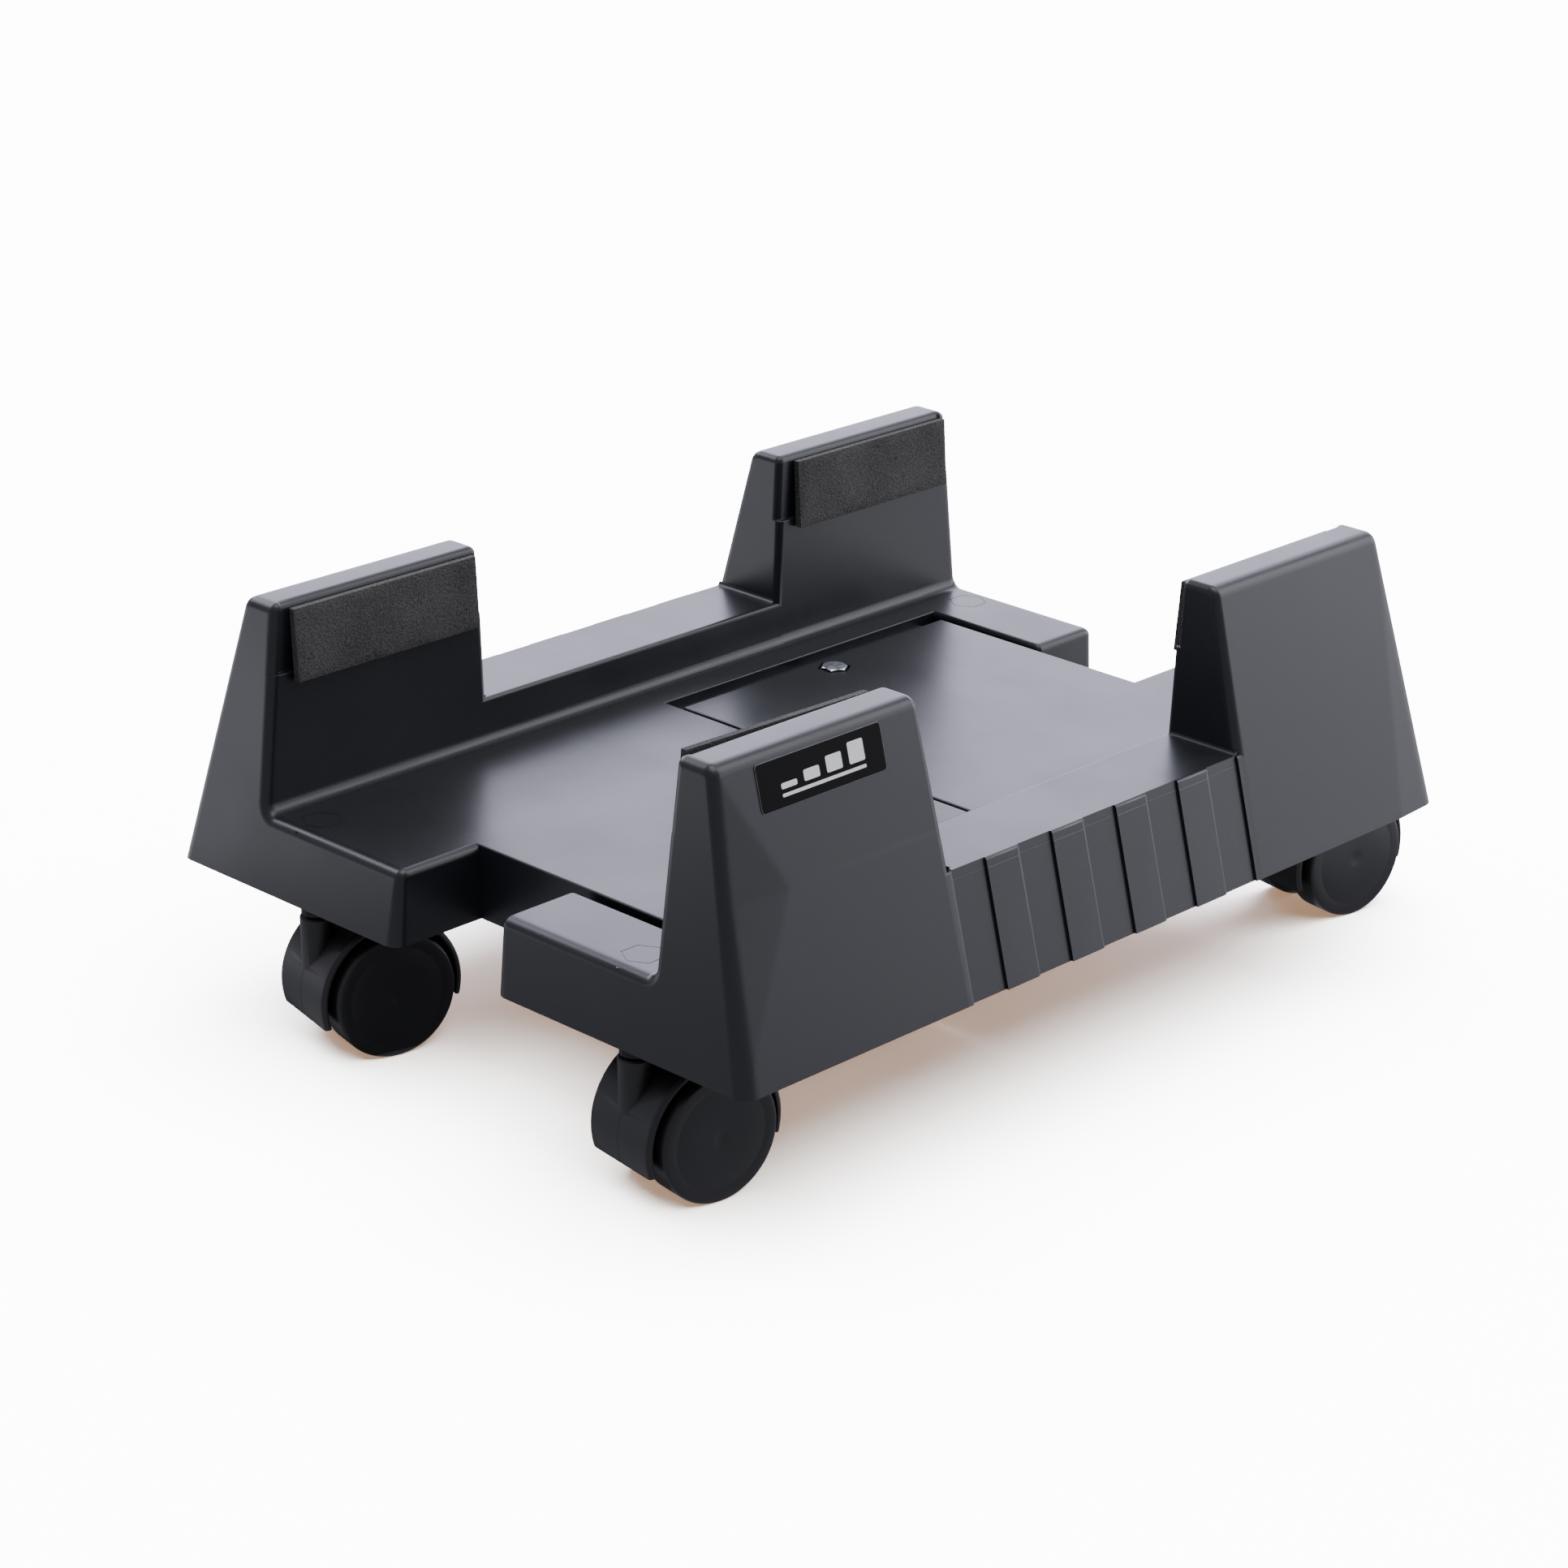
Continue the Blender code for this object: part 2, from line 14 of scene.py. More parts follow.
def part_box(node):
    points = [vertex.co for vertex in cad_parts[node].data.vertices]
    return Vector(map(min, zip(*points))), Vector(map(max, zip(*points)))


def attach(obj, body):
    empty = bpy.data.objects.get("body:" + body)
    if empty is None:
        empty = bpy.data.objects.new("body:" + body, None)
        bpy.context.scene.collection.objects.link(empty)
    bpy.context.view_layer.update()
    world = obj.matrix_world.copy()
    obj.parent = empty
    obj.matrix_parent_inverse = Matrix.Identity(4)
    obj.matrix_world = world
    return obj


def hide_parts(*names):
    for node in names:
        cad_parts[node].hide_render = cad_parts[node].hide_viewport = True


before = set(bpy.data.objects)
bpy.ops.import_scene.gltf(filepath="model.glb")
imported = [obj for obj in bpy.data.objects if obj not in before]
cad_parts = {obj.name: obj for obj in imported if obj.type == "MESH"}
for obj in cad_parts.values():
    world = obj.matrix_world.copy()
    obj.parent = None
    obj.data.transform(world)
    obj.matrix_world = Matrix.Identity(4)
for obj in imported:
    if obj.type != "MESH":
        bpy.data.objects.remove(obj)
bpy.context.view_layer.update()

MM = 0.001
HALF_LOW, HALF_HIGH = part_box("right_half")
SHIFT_Y = 0.5 * (HALF_LOW.y + HALF_HIGH.y) / MM

# ---- moulded half, the right-hand one --------------------------------------------
BASE_X = HALF_HIGH.x / MM
BASE_Y = 0.5 * (HALF_HIGH.y - HALF_LOW.y) / MM
BOTTOM_Z = HALF_LOW.z / MM
TOP_Z = HALF_HIGH.z / MM
DECK_Z = 74.6
RAIL_Z = 89.0
SIDE_SLOPE = 0.270
END_SLOPE = 0.111
INNER_X = 83.3
INNER_SLOPE = 0.0155
STEP_X = 85.2
STEP_Z = 117.3
POCKET_SHUT = 0.88      # how far the recess above the step is filled at the ends of the stand
POCKET_SLOPE = 0.9
TOWER_LOW_Y = 65.0
FLANK_SLOPE = 0.036
FOOT_X = 21.4
NOTCH_Y = 124.2
FOOT_BACK_Y = 127.8
TONGUE_X = 62.8
RECESS_X = 69.9
SEAM_Y = 0.6
FILLET = 3.6
OUTER_ROUND = 3.0
TOP_ROUND = 4.4
SMALL_ROUND = 1.0
WALL = 2.5
SKIN = 3.0
FLUTE_STEP = 14.4
FLUTE_DEPTH = 0.8
FLUTE_EASE = (1.0, 0.34)  # length and depth of the slope that eases each rib into its groove
RAIL_ROUND = 1.1
BEAD_Z = 86.0           # a hairline bead runs along the rail just under its top
BEAD_PROUD = 0.09
BEAD_HALF = 0.22
BEAD_SUNK = 0.3
CUT_Z = 43.0            # the solids start here and are trimmed at the bottom edge
LOW_EDGE = 8.0          # height above CUT_Z below which a point belongs to the lowest edge
LIP_CORNER = 3          # place in tower_corners of the top edge over the recess
SIDE_RIBS_Y = (-107.0, -28.8, 28.8, 107.0)
RAIL_RIBS_Y = SIDE_RIBS_Y[1:3]
FOOT_RIBS_Y = (-144.0, 144.0)
RIB_HALF = 1.0
SOCKET_R = 7.1          # hexagonal socket of a caster, and the bore for its pin
SOCKET_BORE_R = 4.0
SOCKET_BORE_TOP_Z = 70.6

SHELF_GAP = 0.35
SHELF_THICK = 3.0
SHELF_END_X = -28.0
SHELF_Y = (-121.2, -3.6)
SHELF_RIBS_Y = (-119.6, -82.0, -44.0, -5.2)
BOLT_X = -54.9
BOLT_Y = 63.0
OPEN_TRAVEL = 65.0
CLOSE_TRAVEL = 6.8
POCKET_R = 5.7
POCKET_DEPTH = 3.2
BOSS_R = 6.2
BOSS_DEPTH = 5.2
BOLT_HOLE_R = 2.9       # also the bore of the washer and of the wing nut
SLOT_HALF = 6.6
CLEARANCE_Y = 16.0

# ---- soft folds that the moulding leaves in the outer walls of the towers --------
FOLD_Z = 101.5          # height of the widest part of the front fold
FOLD_WIDE = 24.7
FOLD_DEPTH = 1.2
CORNER_WIDE = 19.0      # foot of the three-cornered facet at the rear end
CORNER_LEAN = 0.065
CREASE_HALF = 1.3       # half the width over which a crease turns
FOOT_FLARE = 1.6        # upright edges are rounder at the bottom than at the deck by this factor
RAIL_FILLET = 1.3       # between a tower's flank and the rail

# ---- casters ---------------------------------------------------------------------
STEM_X = 69.0
STEM_Y = 148.2
TRAIL = 18.0
WHEEL_R = 20.0
HOOD_R = 24.0
HOOD_INNER_R = 22.0
HOOD_HALF = 14.2
HOOD_FRONT = -19.0
HOOD_REAR = 194.0
WEB_HALF = 3.0
BOSS_TOP_Z = 44.8
WHEEL_IN = 5.9
WHEEL_OUT = 16.8
CASTERS = {
    "front_right": (1.0, -1.0, -8.0),
    "front_left": (-1.0, -1.0, -12.9),
    "rear_right": (1.0, 1.0, -9.0),
    "rear_left": (-1.0, 1.0, -10.0),
}

ARC_STEPS = 6


# ---- mesh helpers ----------------------------------------------------------------
def object_from(bm, name):
    bmesh.ops.remove_doubles(bm, verts=bm.verts, dist=1e-6)
    bmesh.ops.dissolve_degenerate(bm, edges=bm.edges, dist=1e-6)
    bmesh.ops.recalc_face_normals(bm, faces=bm.faces)
    mesh = bpy.data.meshes.new(name)
    bm.to_mesh(mesh)
    bm.free()
    obj = bpy.data.objects.new(name, mesh)
    bpy.context.scene.collection.objects.link(obj)
    return obj


def baked(obj):
    """Turn the modifiers of an object into plain mesh."""
    graph = bpy.context.evaluated_depsgraph_get()
    mesh = bpy.data.meshes.new_from_object(obj.evaluated_get(graph))
    obj.modifiers.clear()
    obj.data = mesh
    return obj


def combine(target, tool, operation):
    mod = target.modifiers.new("combine", "BOOLEAN")
    mod.solver = "EXACT"
    mod.operation = operation
    mod.object = tool
    baked(target)
    bpy.data.objects.remove(tool, do_unlink=True)
    return target


def bevelled(obj, width, segments=3, angle=30.0):
    mod = obj.modifiers.new("round", "BEVEL")
    mod.width = width * MM
    mod.segments = segments
    mod.limit_method = "ANGLE"
    mod.angle_limit = math.radians(angle)
    return baked(obj)


def place(axis, u, v, w):
    """Point of an outline (u, v), in the two other axes in order x, y, z, at w on one axis."""
    return {"x": (w, u, v), "y": (u, w, v), "z": (u, v, w)}[axis]


def stack(rings, name="stack"):
    """Skin through rings of points with equal counts, closed by a face at each end."""
    bm = bmesh.new()
    levels = [[bm.verts.new(Vector(p) * MM) for p in ring] for ring in rings]
    bm.faces.new(levels[0])
    bm.faces.new(levels[-1])
    for low, high in zip(levels, levels[1:]):
        count = len(low)
        for i in range(count):
            j = (i + 1) % count
            bm.faces.new((low[i], low[j], high[j], high[i]))
    return object_from(bm, name)


def prism(points, axis, low, high, name="prism"):
    return stack([[place(axis, u, v, w) for u, v in points] for w in (low, high)], name)


def block(x, y, z, name="block"):
    return prism([(x[0], y[0]), (x[1], y[0]), (x[1], y[1]), (x[0], y[1])], "z", z[0], z[1], name)


def turned(profile, axis, segments, name="turned"):
    """Profile of (radius, height) turned about an axis; radius 0 closes the ends."""
    bm = bmesh.new()
    rings = []
    for radius, height in profile:
        if radius == 0.0:
            rings.append([bm.verts.new((0.0, 0.0, height * MM))])
            continue
        ring = []
        for k in range(segments):
            a = 2.0 * math.pi * k / segments
            ring.append(bm.verts.new(Vector((radius * math.cos(a), radius * math.sin(a), height)) * MM))
        rings.append(ring)
    pairs = list(zip(rings, rings[1:]))
    if profile[0][0] > 0.0:
        pairs.append((rings[-1], rings[0]))
    for low, high in pairs:
        if len(low) == 1 and len(high) == 1:
            continue
        for k in range(segments):
            n = (k + 1) % segments
            if len(low) == 1:
                bm.faces.new((low[0], high[k], high[n]))
            elif len(high) == 1:
                bm.faces.new((low[k], low[n], high[0]))
            else:
                bm.faces.new((low[k], low[n], high[n], high[k]))
    if axis == "x":
        bmesh.ops.rotate(bm, verts=bm.verts, matrix=Matrix.Rotation(math.radians(90.0), 3, "Y"))
    return object_from(bm, name)


def rounded_outline(corners, inset=0.0):
    """Outline of (u, v, radius) corners in anticlockwise order, offset inwards, with arcs.

    A convex radius shrinks with the inset and a concave one grows, so that rings of rising
    inset describe a rounded edge that runs on evenly through both."""
    count = len(corners)
    edges = []
    for i in range(count):
        a = Vector(corners[i][:2])
        b = Vector(corners[(i + 1) % count][:2])
        along = (b - a).normalized()
        edges.append((a + Vector((-along.y, along.x)) * inset, along))
    points = []
    for i in range(count):
        (p, d0), (q, d1) = edges[i - 1], edges[i]
        cross = d0.x * d1.y - d0.y * d1.x
        step = ((q - p).x * d1.y - (q - p).y * d1.x) / cross
        corner = p + d0 * step
        radius = corners[i][2]
        radius = max(radius - inset, 0.0) if cross > 0.0 else radius + inset
        turn = math.acos(max(-1.0, min(1.0, d0.dot(d1))))
        reach = radius * math.tan(0.5 * turn)
        start, end = corner - d0 * reach, corner + d1 * reach
        normal = Vector((-d0.y, d0.x)) * (1.0 if cross > 0.0 else -1.0)
        centre = start + normal * radius
        for k in range(ARC_STEPS + 1):
            a = turn * k / ARC_STEPS * (1.0 if cross > 0.0 else -1.0)
            arm = start - centre
            points.append((
                centre.x + arm.x * math.cos(a) - arm.y * math.sin(a),
                centre.y + arm.x * math.sin(a) + arm.y * math.cos(a),
            ))
        points[-1] = tuple(end)
    return points


def flared_outline(corners, inset, shut=0.0):
    """Rounded outline with a factor for each point, by which it is drawn in further.

    The lowest corners are rounder, and the step above the inner wall stays level. The recess
    above that step is filled by the share shut, which is used at the ends of the stand."""
    plain, wide = rounded_outline(corners), rounded_outline(corners, inset * FOOT_FLARE)
    points = []
    drawn_in = rounded_outline(corners, inset)
    for i, ((u0, v0), (u, v), (wide_u, _)) in enumerate(zip(plain, drawn_in, wide)):
        factor = 1.0
        if abs(v0 - STEP_Z) < 1.0:
            u, v = u0 + inset, v0
            u -= shut * (u - inset - inner_x(v))
        elif shut and i // (ARC_STEPS + 1) == LIP_CORNER:
            u -= shut * (STEP_X - inner_x(TOP_Z))
        elif v < CUT_Z + LOW_EDGE:
            u, factor = wide_u, FOOT_FLARE
        points.append((u, v, factor))
    return points


def edge_stations(radius):
    """(distance from the end, inset) pairs of a quarter round."""
    stations = []
    for k in range(ARC_STEPS + 1):
        a = 0.5 * math.pi * k / ARC_STEPS
        stations.append((radius * (1.0 - math.cos(a)), radius * (1.0 - math.sin(a))))
    return stations


def run_along_y(corners, low_y, high_y, low_round=0.0, high_round=0.0, pocket="", name="run"):
    """Outline in X and Z run along Y; each end is a function of Z and may be rounded.

    The end named by pocket closes the recess off with a short slope."""
    rings = []
    for end, y_at, sign, radius in (("low", low_y, 1.0, low_round), ("high", high_y, -1.0, high_round)):
        closed = POCKET_SHUT if pocket == end else 0.0
        stations = [(d, inset, closed) for d, inset in edge_stations(radius)]
        if not radius:
            stations = [(0.0, 0.0, 0.0)]
        if pocket == end:
            stations.append((radius + POCKET_SLOPE, 0.0, 0.0))
        if end == "high":
            stations.reverse()
        for distance, inset, shut in stations:
            outline = flared_outline(corners, inset, shut)
            rings.append([(u, y_at(v) + sign * distance * k, v) for u, v, k in outline])
    return stack(rings, name)


def moved(obj, x=0.0, y=0.0, z=0.0, turn=0.0):
    """Turn a mesh about Z, then shift it; the data moves, the origin stays."""
    obj.data.transform(Matrix.Translation(Vector((x, y, z)) * MM) @ Matrix.Rotation(turn, 4, "Z"))
    return obj


def finish(obj, name, material, body, nodes, sharp=35.0, weighted=True):
    """Name, smooth, paint and hang a piece on its body, in the frame's own place."""
    obj.name = name
    obj.data.name = name
    obj.data.transform(Matrix.Translation((0.0, SHIFT_Y * MM, 0.0)))
    obj.data.materials.clear()
    obj.data.materials.append(material)
    obj.data.shade_smooth()
    obj.data.set_sharp_from_angle(angle=math.radians(sharp))
    if weighted:
        mod = obj.modifiers.new("flat faces stay flat", "WEIGHTED_NORMAL")
        mod.keep_sharp = True
        mod.weight = 80
    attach(obj, body)
    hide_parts(*nodes)
    return obj


# ---- materials -------------------------------------------------------------------
class Paint:
    """Thin wrapper that keeps node building readable."""

    def __init__(self, name, colour, roughness, metallic=0.0):
        self.mat = bpy.data.materials.new(name)
        self.mat.use_nodes = True
        self.nodes = self.mat.node_tree.nodes
        self.links = self.mat.node_tree.links
        self.shader = self.nodes["Principled BSDF"]
        self.shader.inputs["Base Color"].default_value = (*colour, 1.0)
        self.shader.inputs["Roughness"].default_value = roughness
        self.shader.inputs["Metallic"].default_value = metallic
        found = self.nodes.new("ShaderNodeTexCoord")
        self.coords, self.normal = found.outputs["Object"], found.outputs["Normal"]

    def add(self, kind, inputs=None, **settings):
        node = self.nodes.new(kind)
        for key, value in settings.items():
            setattr(node, key, value)
        for key, value in (inputs or {}).items():
            if hasattr(value, "is_linked"):
                self.links.new(value, node.inputs[key])
            else:
                node.inputs[key].default_value = value
        return node

    def noise(self, scale, detail=2.0, roughness=0.5, stretch=None):
        vector = self.coords
        if stretch:
            vector = self.add("ShaderNodeMapping", {"Vector": vector, "Scale": stretch}).outputs[0]
        found = self.add("ShaderNodeTexNoise", {
            "Vector": vector, "Scale": scale, "Detail": detail, "Roughness": roughness,
        })
        return found.outputs["Fac"]

    def ramp(self, value, low, high, out_low=0.0, out_high=1.0):
        found = self.add("ShaderNodeMapRange", {
            "Value": value, "From Min": low, "From Max": high, "To Min": out_low, "To Max": out_high,
        })
        return found.outputs[0]

    def math(self, operation, a, b=0.0):
        return self.add("ShaderNodeMath", {0: a, 1: b}, operation=operation).outputs[0]

    def mix(self, factor, a, b):
        node = self.nodes.new("ShaderNodeMix")
        node.data_type = "RGBA"
        for index, value in ((0, factor), (6, a), (7, b)):
            if hasattr(value, "is_linked"):
                self.links.new(value, node.inputs[index])
            else:
                node.inputs[index].default_value = value
        return node.outputs[2]

    def bump(self, height, distance, strength=1.0, normal=None):
        inputs = {"Height": height, "Distance": distance, "Strength": strength}
        if normal is not None:
            inputs["Normal"] = normal
        return self.add("ShaderNodeBump", inputs).outputs["Normal"]

    def specks(self, scale, size):
        """Sparse dots: 1 in a speck of dust, 0 elsewhere."""
        cell = self.add("ShaderNodeTexVoronoi", {"Vector": self.coords, "Scale": scale})
        near = self.ramp(cell.outputs["Distance"], size, size * 0.5)
        pick = self.add("ShaderNodeSeparateColor", {"Color": cell.outputs["Color"]}).outputs[0]
        chosen = self.math("GREATER_THAN", pick, 0.72)
        return self.math("MULTIPLY", near, chosen)

    def set(self, key, output):
        self.links.new(output, self.shader.inputs[key])


def black_plastic(name, colour, roughness, dust=0.0, grain=0.5):
    """Moulded black plastic: fine spark-eroded grain, slow sheen variation, a little dust."""
    paint = Paint(name, colour, roughness)
    slow = paint.noise(28.0, 3.0)
    fine = paint.noise(2600.0, 2.0)
    rough = paint.ramp(slow, 0.3, 0.7, roughness - 0.035, roughness + 0.035)
    dark = (*[c * 0.88 for c in colour], 1.0)
    light = (*[c * 1.14 for c in colour], 1.0)
    base = paint.mix(paint.ramp(slow, 0.3, 0.7), dark, light)
    if dust:
        spots = paint.specks(130.0, 0.022)
        base = paint.mix(paint.math("MULTIPLY", spots, dust), base, (0.35, 0.36, 0.37, 1.0))
        rough = paint.math("ADD", rough, paint.math("MULTIPLY", spots, 0.3))
    paint.set("Base Color", base)
    paint.set("Roughness", rough)
    paint.set("Normal", paint.bump(fine, 0.00002, grain))
    return paint.mat


def foam(name, top_highlight):
    """Closed-cell foam tape: open grain, light and dark cells, and a painted highlight that makes the
    upward-facing top edge paler.
    """
    paint = Paint(name, (0.030, 0.030, 0.030), 0.95)
    voronoi = paint.add("ShaderNodeTexVoronoi", {"Vector": paint.coords, "Scale": 1500.0})
    cells = voronoi.outputs["Distance"]
    grain = paint.noise(1900.0, 4.0, 0.7)
    patches = paint.noise(45.0, 3.0)
    mixed = paint.math("ADD", paint.math("MULTIPLY", grain, 0.75), paint.math("MULTIPLY", patches, 0.25))
    dark, light = (0.010, 0.010, 0.010, 1.0), (0.098, 0.095, 0.090, 1.0)
    base = paint.mix(paint.ramp(mixed, 0.36, 0.66), dark, light)
    # painted highlight: faces turned upwards, which is the pad's top edge, are painted paler as if lit
    # from above, with the cell grain showing through
    facing = paint.add("ShaderNodeSeparateXYZ", {"Vector": paint.normal}).outputs["Z"]
    cut = paint.ramp(facing, 0.35, 0.8, 0.0, top_highlight)
    deep, pale = (0.035, 0.033, 0.032, 1.0), (0.17, 0.16, 0.155, 1.0)
    highlit_cells = paint.mix(paint.ramp(grain, 0.35, 0.65), deep, pale)
    base = paint.mix(cut, base, highlit_cells)
    paint.set("Base Color", base)
    first = paint.bump(cells, 0.00035, 0.7)
    paint.set("Normal", paint.bump(grain, 0.0003, 0.8, first))
    return paint.mat


def zinc():
    """Bright zinc plate: fine drawn lines and cloudy brightness."""
    paint = Paint("zinc", (0.66, 0.69, 0.74), 0.28, 1.0)
    cloud = paint.noise(420.0, 3.0)
    lines = paint.noise(900.0, 2.0, 0.5, (1.0, 6.0, 1.0))
    paint.set("Roughness", paint.ramp(cloud, 0.3, 0.7, 0.20, 0.36))
    dull, bright = (0.52, 0.56, 0.62, 1.0), (0.80, 0.84, 0.88, 1.0)
    paint.set("Base Color", paint.mix(paint.ramp(cloud, 0.3, 0.7), dull, bright))
    paint.set("Normal", paint.bump(lines, 0.00003, 0.5))
    return paint.mat


def dark_steel():
    """Steel coloured nearly black, as painted shade for the shadow the pins sit in under the deck; a soft
    uneven sheen.
    """
    paint = Paint("dark steel", (0.030, 0.030, 0.032), 0.42, 1.0)
    cloud = paint.noise(300.0, 3.0)
    paint.set("Roughness", paint.ramp(cloud, 0.3, 0.7, 0.36, 0.50))
    paint.set("Base Color", paint.mix(cloud, (0.020, 0.020, 0.022, 1.0), (0.045, 0.045, 0.047, 1.0)))
    paint.set("Normal", paint.bump(cloud, 0.00002, 0.4))
    return paint.mat


def sticker_face():
    """Glossy black face of the sticker, with faint print mottling."""
    paint = Paint("sticker face", (0.004, 0.004, 0.004), 0.22)
    paint.shader.inputs["Specular IOR Level"].default_value = 0.05
    mottle = paint.noise(60.0, 2.0)
    paint.set("Base Color", paint.mix(mottle, (0.003, 0.003, 0.003, 1.0), (0.006, 0.006, 0.006, 1.0)))
    paint.set("Roughness", paint.ramp(mottle, 0.3, 0.7, 0.18, 0.26))
    return paint.mat


def sticker_paper():
    """Paper edge of the sticker, a little fibrous."""
    paint = Paint("sticker paper", (0.16, 0.16, 0.16), 0.8)
    fibre = paint.noise(1500.0, 3.0)
    paint.set("Base Color", paint.mix(fibre, (0.10, 0.10, 0.10, 1.0), (0.22, 0.22, 0.22, 1.0)))
    paint.set("Normal", paint.bump(fibre, 0.00002, 0.5))
    return paint.mat


def sticker_print():
    """Off-white printing ink with slight unevenness."""
    paint = Paint("sticker print", (0.82, 0.82, 0.82), 0.38)
    mottle = paint.noise(700.0, 2.0)
    paint.set("Base Color", paint.mix(mottle, (0.74, 0.74, 0.74, 1.0), (0.88, 0.88, 0.88, 1.0)))
    paint.set("Roughness", paint.ramp(mottle, 0.3, 0.7, 0.33, 0.44))
    return paint.mat


MATS = {
    "dark": dark_steel(),
    "face": sticker_face(),
    "print": sticker_print(),
    "paper": sticker_paper(),
    "shell": black_plastic("shell plastic", (0.0075, 0.0082, 0.0105), 0.34, dust=0.3),
    "hood": black_plastic("hood plastic", (0.0105, 0.0105, 0.011), 0.44, dust=0.3, grain=0.4),
    "wheel": black_plastic("wheel plastic", (0.0065, 0.0065, 0.0065), 0.42, dust=0.25, grain=0.35),
    "foam": foam("foam", 0.6),
    "foam_faint_highlight": foam("foam_faint_highlight", 0.12),
    "zinc": zinc(),
}


# ---- moulded halves --------------------------------------------------------------
def side_x(z, inset=0.0):
    return BASE_X - inset - SIDE_SLOPE * (z - BOTTOM_Z)


def inner_x(z):
    return INNER_X + INNER_SLOPE * (z - DECK_Z)


def end_y(z, inset=0.0):
    return BASE_Y - inset - END_SLOPE * (z - BOTTOM_Z)


def flank_y(z):
    return TOWER_LOW_Y + FLANK_SLOPE * (z - RAIL_Z)


def tower_corners(inner_end, end_round):
    """Deck from inner_end, fillet, inner wall with its step, tower top and outer wall."""
    return [
        (inner_end, CUT_Z, 0.0),
        (side_x(CUT_Z), CUT_Z, 0.0),
        (side_x(TOP_Z), TOP_Z, TOP_ROUND),
        (STEP_X, TOP_Z, OUTER_ROUND * 0.8),
        (STEP_X, STEP_Z, 0.4),
        (inner_x(STEP_Z), STEP_Z, 0.4),
        (INNER_X, DECK_Z, FILLET),
        (inner_end, DECK_Z, end_round),
    ]


def rail_corners():
    return [
        (RECESS_X, CUT_Z, 0.0),
        (side_x(CUT_Z), CUT_Z, 0.0),
        (side_x(RAIL_Z), RAIL_Z, RAIL_ROUND),
        (inner_x(RAIL_Z), RAIL_Z, SMALL_ROUND * 1.4),
        (INNER_X, DECK_Z, FILLET),
        (RECESS_X, DECK_Z, 0.5),
    ]


def end_block(side):
    """Foot and tower end in one run, so their rounded front edge turns the corner evenly."""
    corners = tower_corners(FOOT_X, OUTER_ROUND * 0.9)
    if side < 0.0:
        return run_along_y(corners, lambda z: -end_y(z), lambda z: -FOOT_BACK_Y, OUTER_ROUND, 1.8, "low")
    return run_along_y(corners, lambda z: NOTCH_Y - 6.0, end_y, 0.0, OUTER_ROUND, "high")


def tower_block(side):
    corners = tower_corners(RECESS_X, 0.5)
    if side < 0.0:
        return run_along_y(corners, lambda z: -140.0, lambda z: -flank_y(z), 0.0, OUTER_ROUND * 0.8)
    return run_along_y(corners, flank_y, lambda z: 140.0, OUTER_ROUND * 0.8, 0.0)


def tongue_block():
    outline = [
        (-TONGUE_X, SEAM_Y), (INNER_X - 5.0, SEAM_Y), (INNER_X - 5.0, NOTCH_Y), (-TONGUE_X, NOTCH_Y),
    ]
    body = prism(outline, "z", CUT_Z, DECK_Z)
    return bevelled(body, SMALL_ROUND * 0.7, 3)


def hollow_side():
    """Room inside the towers and the rail; what is taken out of it stays as ribs."""
    inset, low = WALL, CUT_Z - 2.0
    lean = inset * 1.04
    top = TOP_Z - inset
    section = [
        (INNER_X + inset, low), (side_x(low, lean), low), (side_x(top, lean), top),
        (STEP_X + inset, top), (STEP_X + inset, STEP_Z - inset), (INNER_X + inset, DECK_Z),
    ]
    rail = RAIL_Z - inset
    profile = [
        (-end_y(low, inset), low), (end_y(low, inset), low), (end_y(top, inset), top),
        (flank_y(top) + inset, top), (TOWER_LOW_Y + inset, rail),
        (-TOWER_LOW_Y - inset, rail), (-flank_y(top) - inset, top), (-end_y(top, inset), top),
    ]
    body = combine(prism(section, "y", -175.0, 175.0), prism(profile, "x", 50.0, 150.0), "INTERSECT")
    for y in SIDE_RIBS_Y:
        rib = block((60.0, 130.0), (y - RIB_HALF, y + RIB_HALF), (BOTTOM_Z + 4.0, TOP_Z))
        combine(body, rib, "DIFFERENCE")
    return body


def hollow_deck():
    """Room under the deck, the feet and the tongue; what is taken out of it stays as ribs."""
    inset, low, top = WALL, CUT_Z - 2.0, DECK_Z - SKIN
    far, reach = 175.0, 105.0
    plan = [
        (FOOT_X + inset, -far), (reach, -far), (reach, far), (FOOT_X + inset, far),
        (FOOT_X + inset, NOTCH_Y - inset), (-TONGUE_X - 8.0, NOTCH_Y - inset),
        (-TONGUE_X - 8.0, SEAM_Y + inset), (RECESS_X + inset, SEAM_Y + inset),
        (RECESS_X + inset, -FOOT_BACK_Y - inset), (FOOT_X + inset, -FOOT_BACK_Y - inset),
    ]
    ends = [
        (-end_y(low, inset), low), (end_y(low, inset), low),
        (end_y(top + 5.0, inset), top + 5.0), (-end_y(top + 5.0, inset), top + 5.0),
    ]
    body = combine(prism(plan, "z", low, top), prism(ends, "x", -120.0, 150.0), "INTERSECT")
    heights = (BOTTOM_Z + 4.0, DECK_Z)
    for y in FOOT_RIBS_Y:
        combine(body, block((43.5, 45.5), (y - 20.0, y + 20.0), heights), "DIFFERENCE")
    for y in RAIL_RIBS_Y:
        combine(body, block((78.0, 130.0), (y - RIB_HALF, y + RIB_HALF), heights), "DIFFERENCE")
    return body


def wall_slab(y, depth):
    """Section at y of the space outside the outer wall, sunk into it by depth."""
    low, high = 40.0, 100.0
    return [
        (side_x(low, depth), y, low), (side_x(low) + 6.0, y, low),
        (side_x(high) + 6.0, y, high), (side_x(high, depth), y, high),
    ]


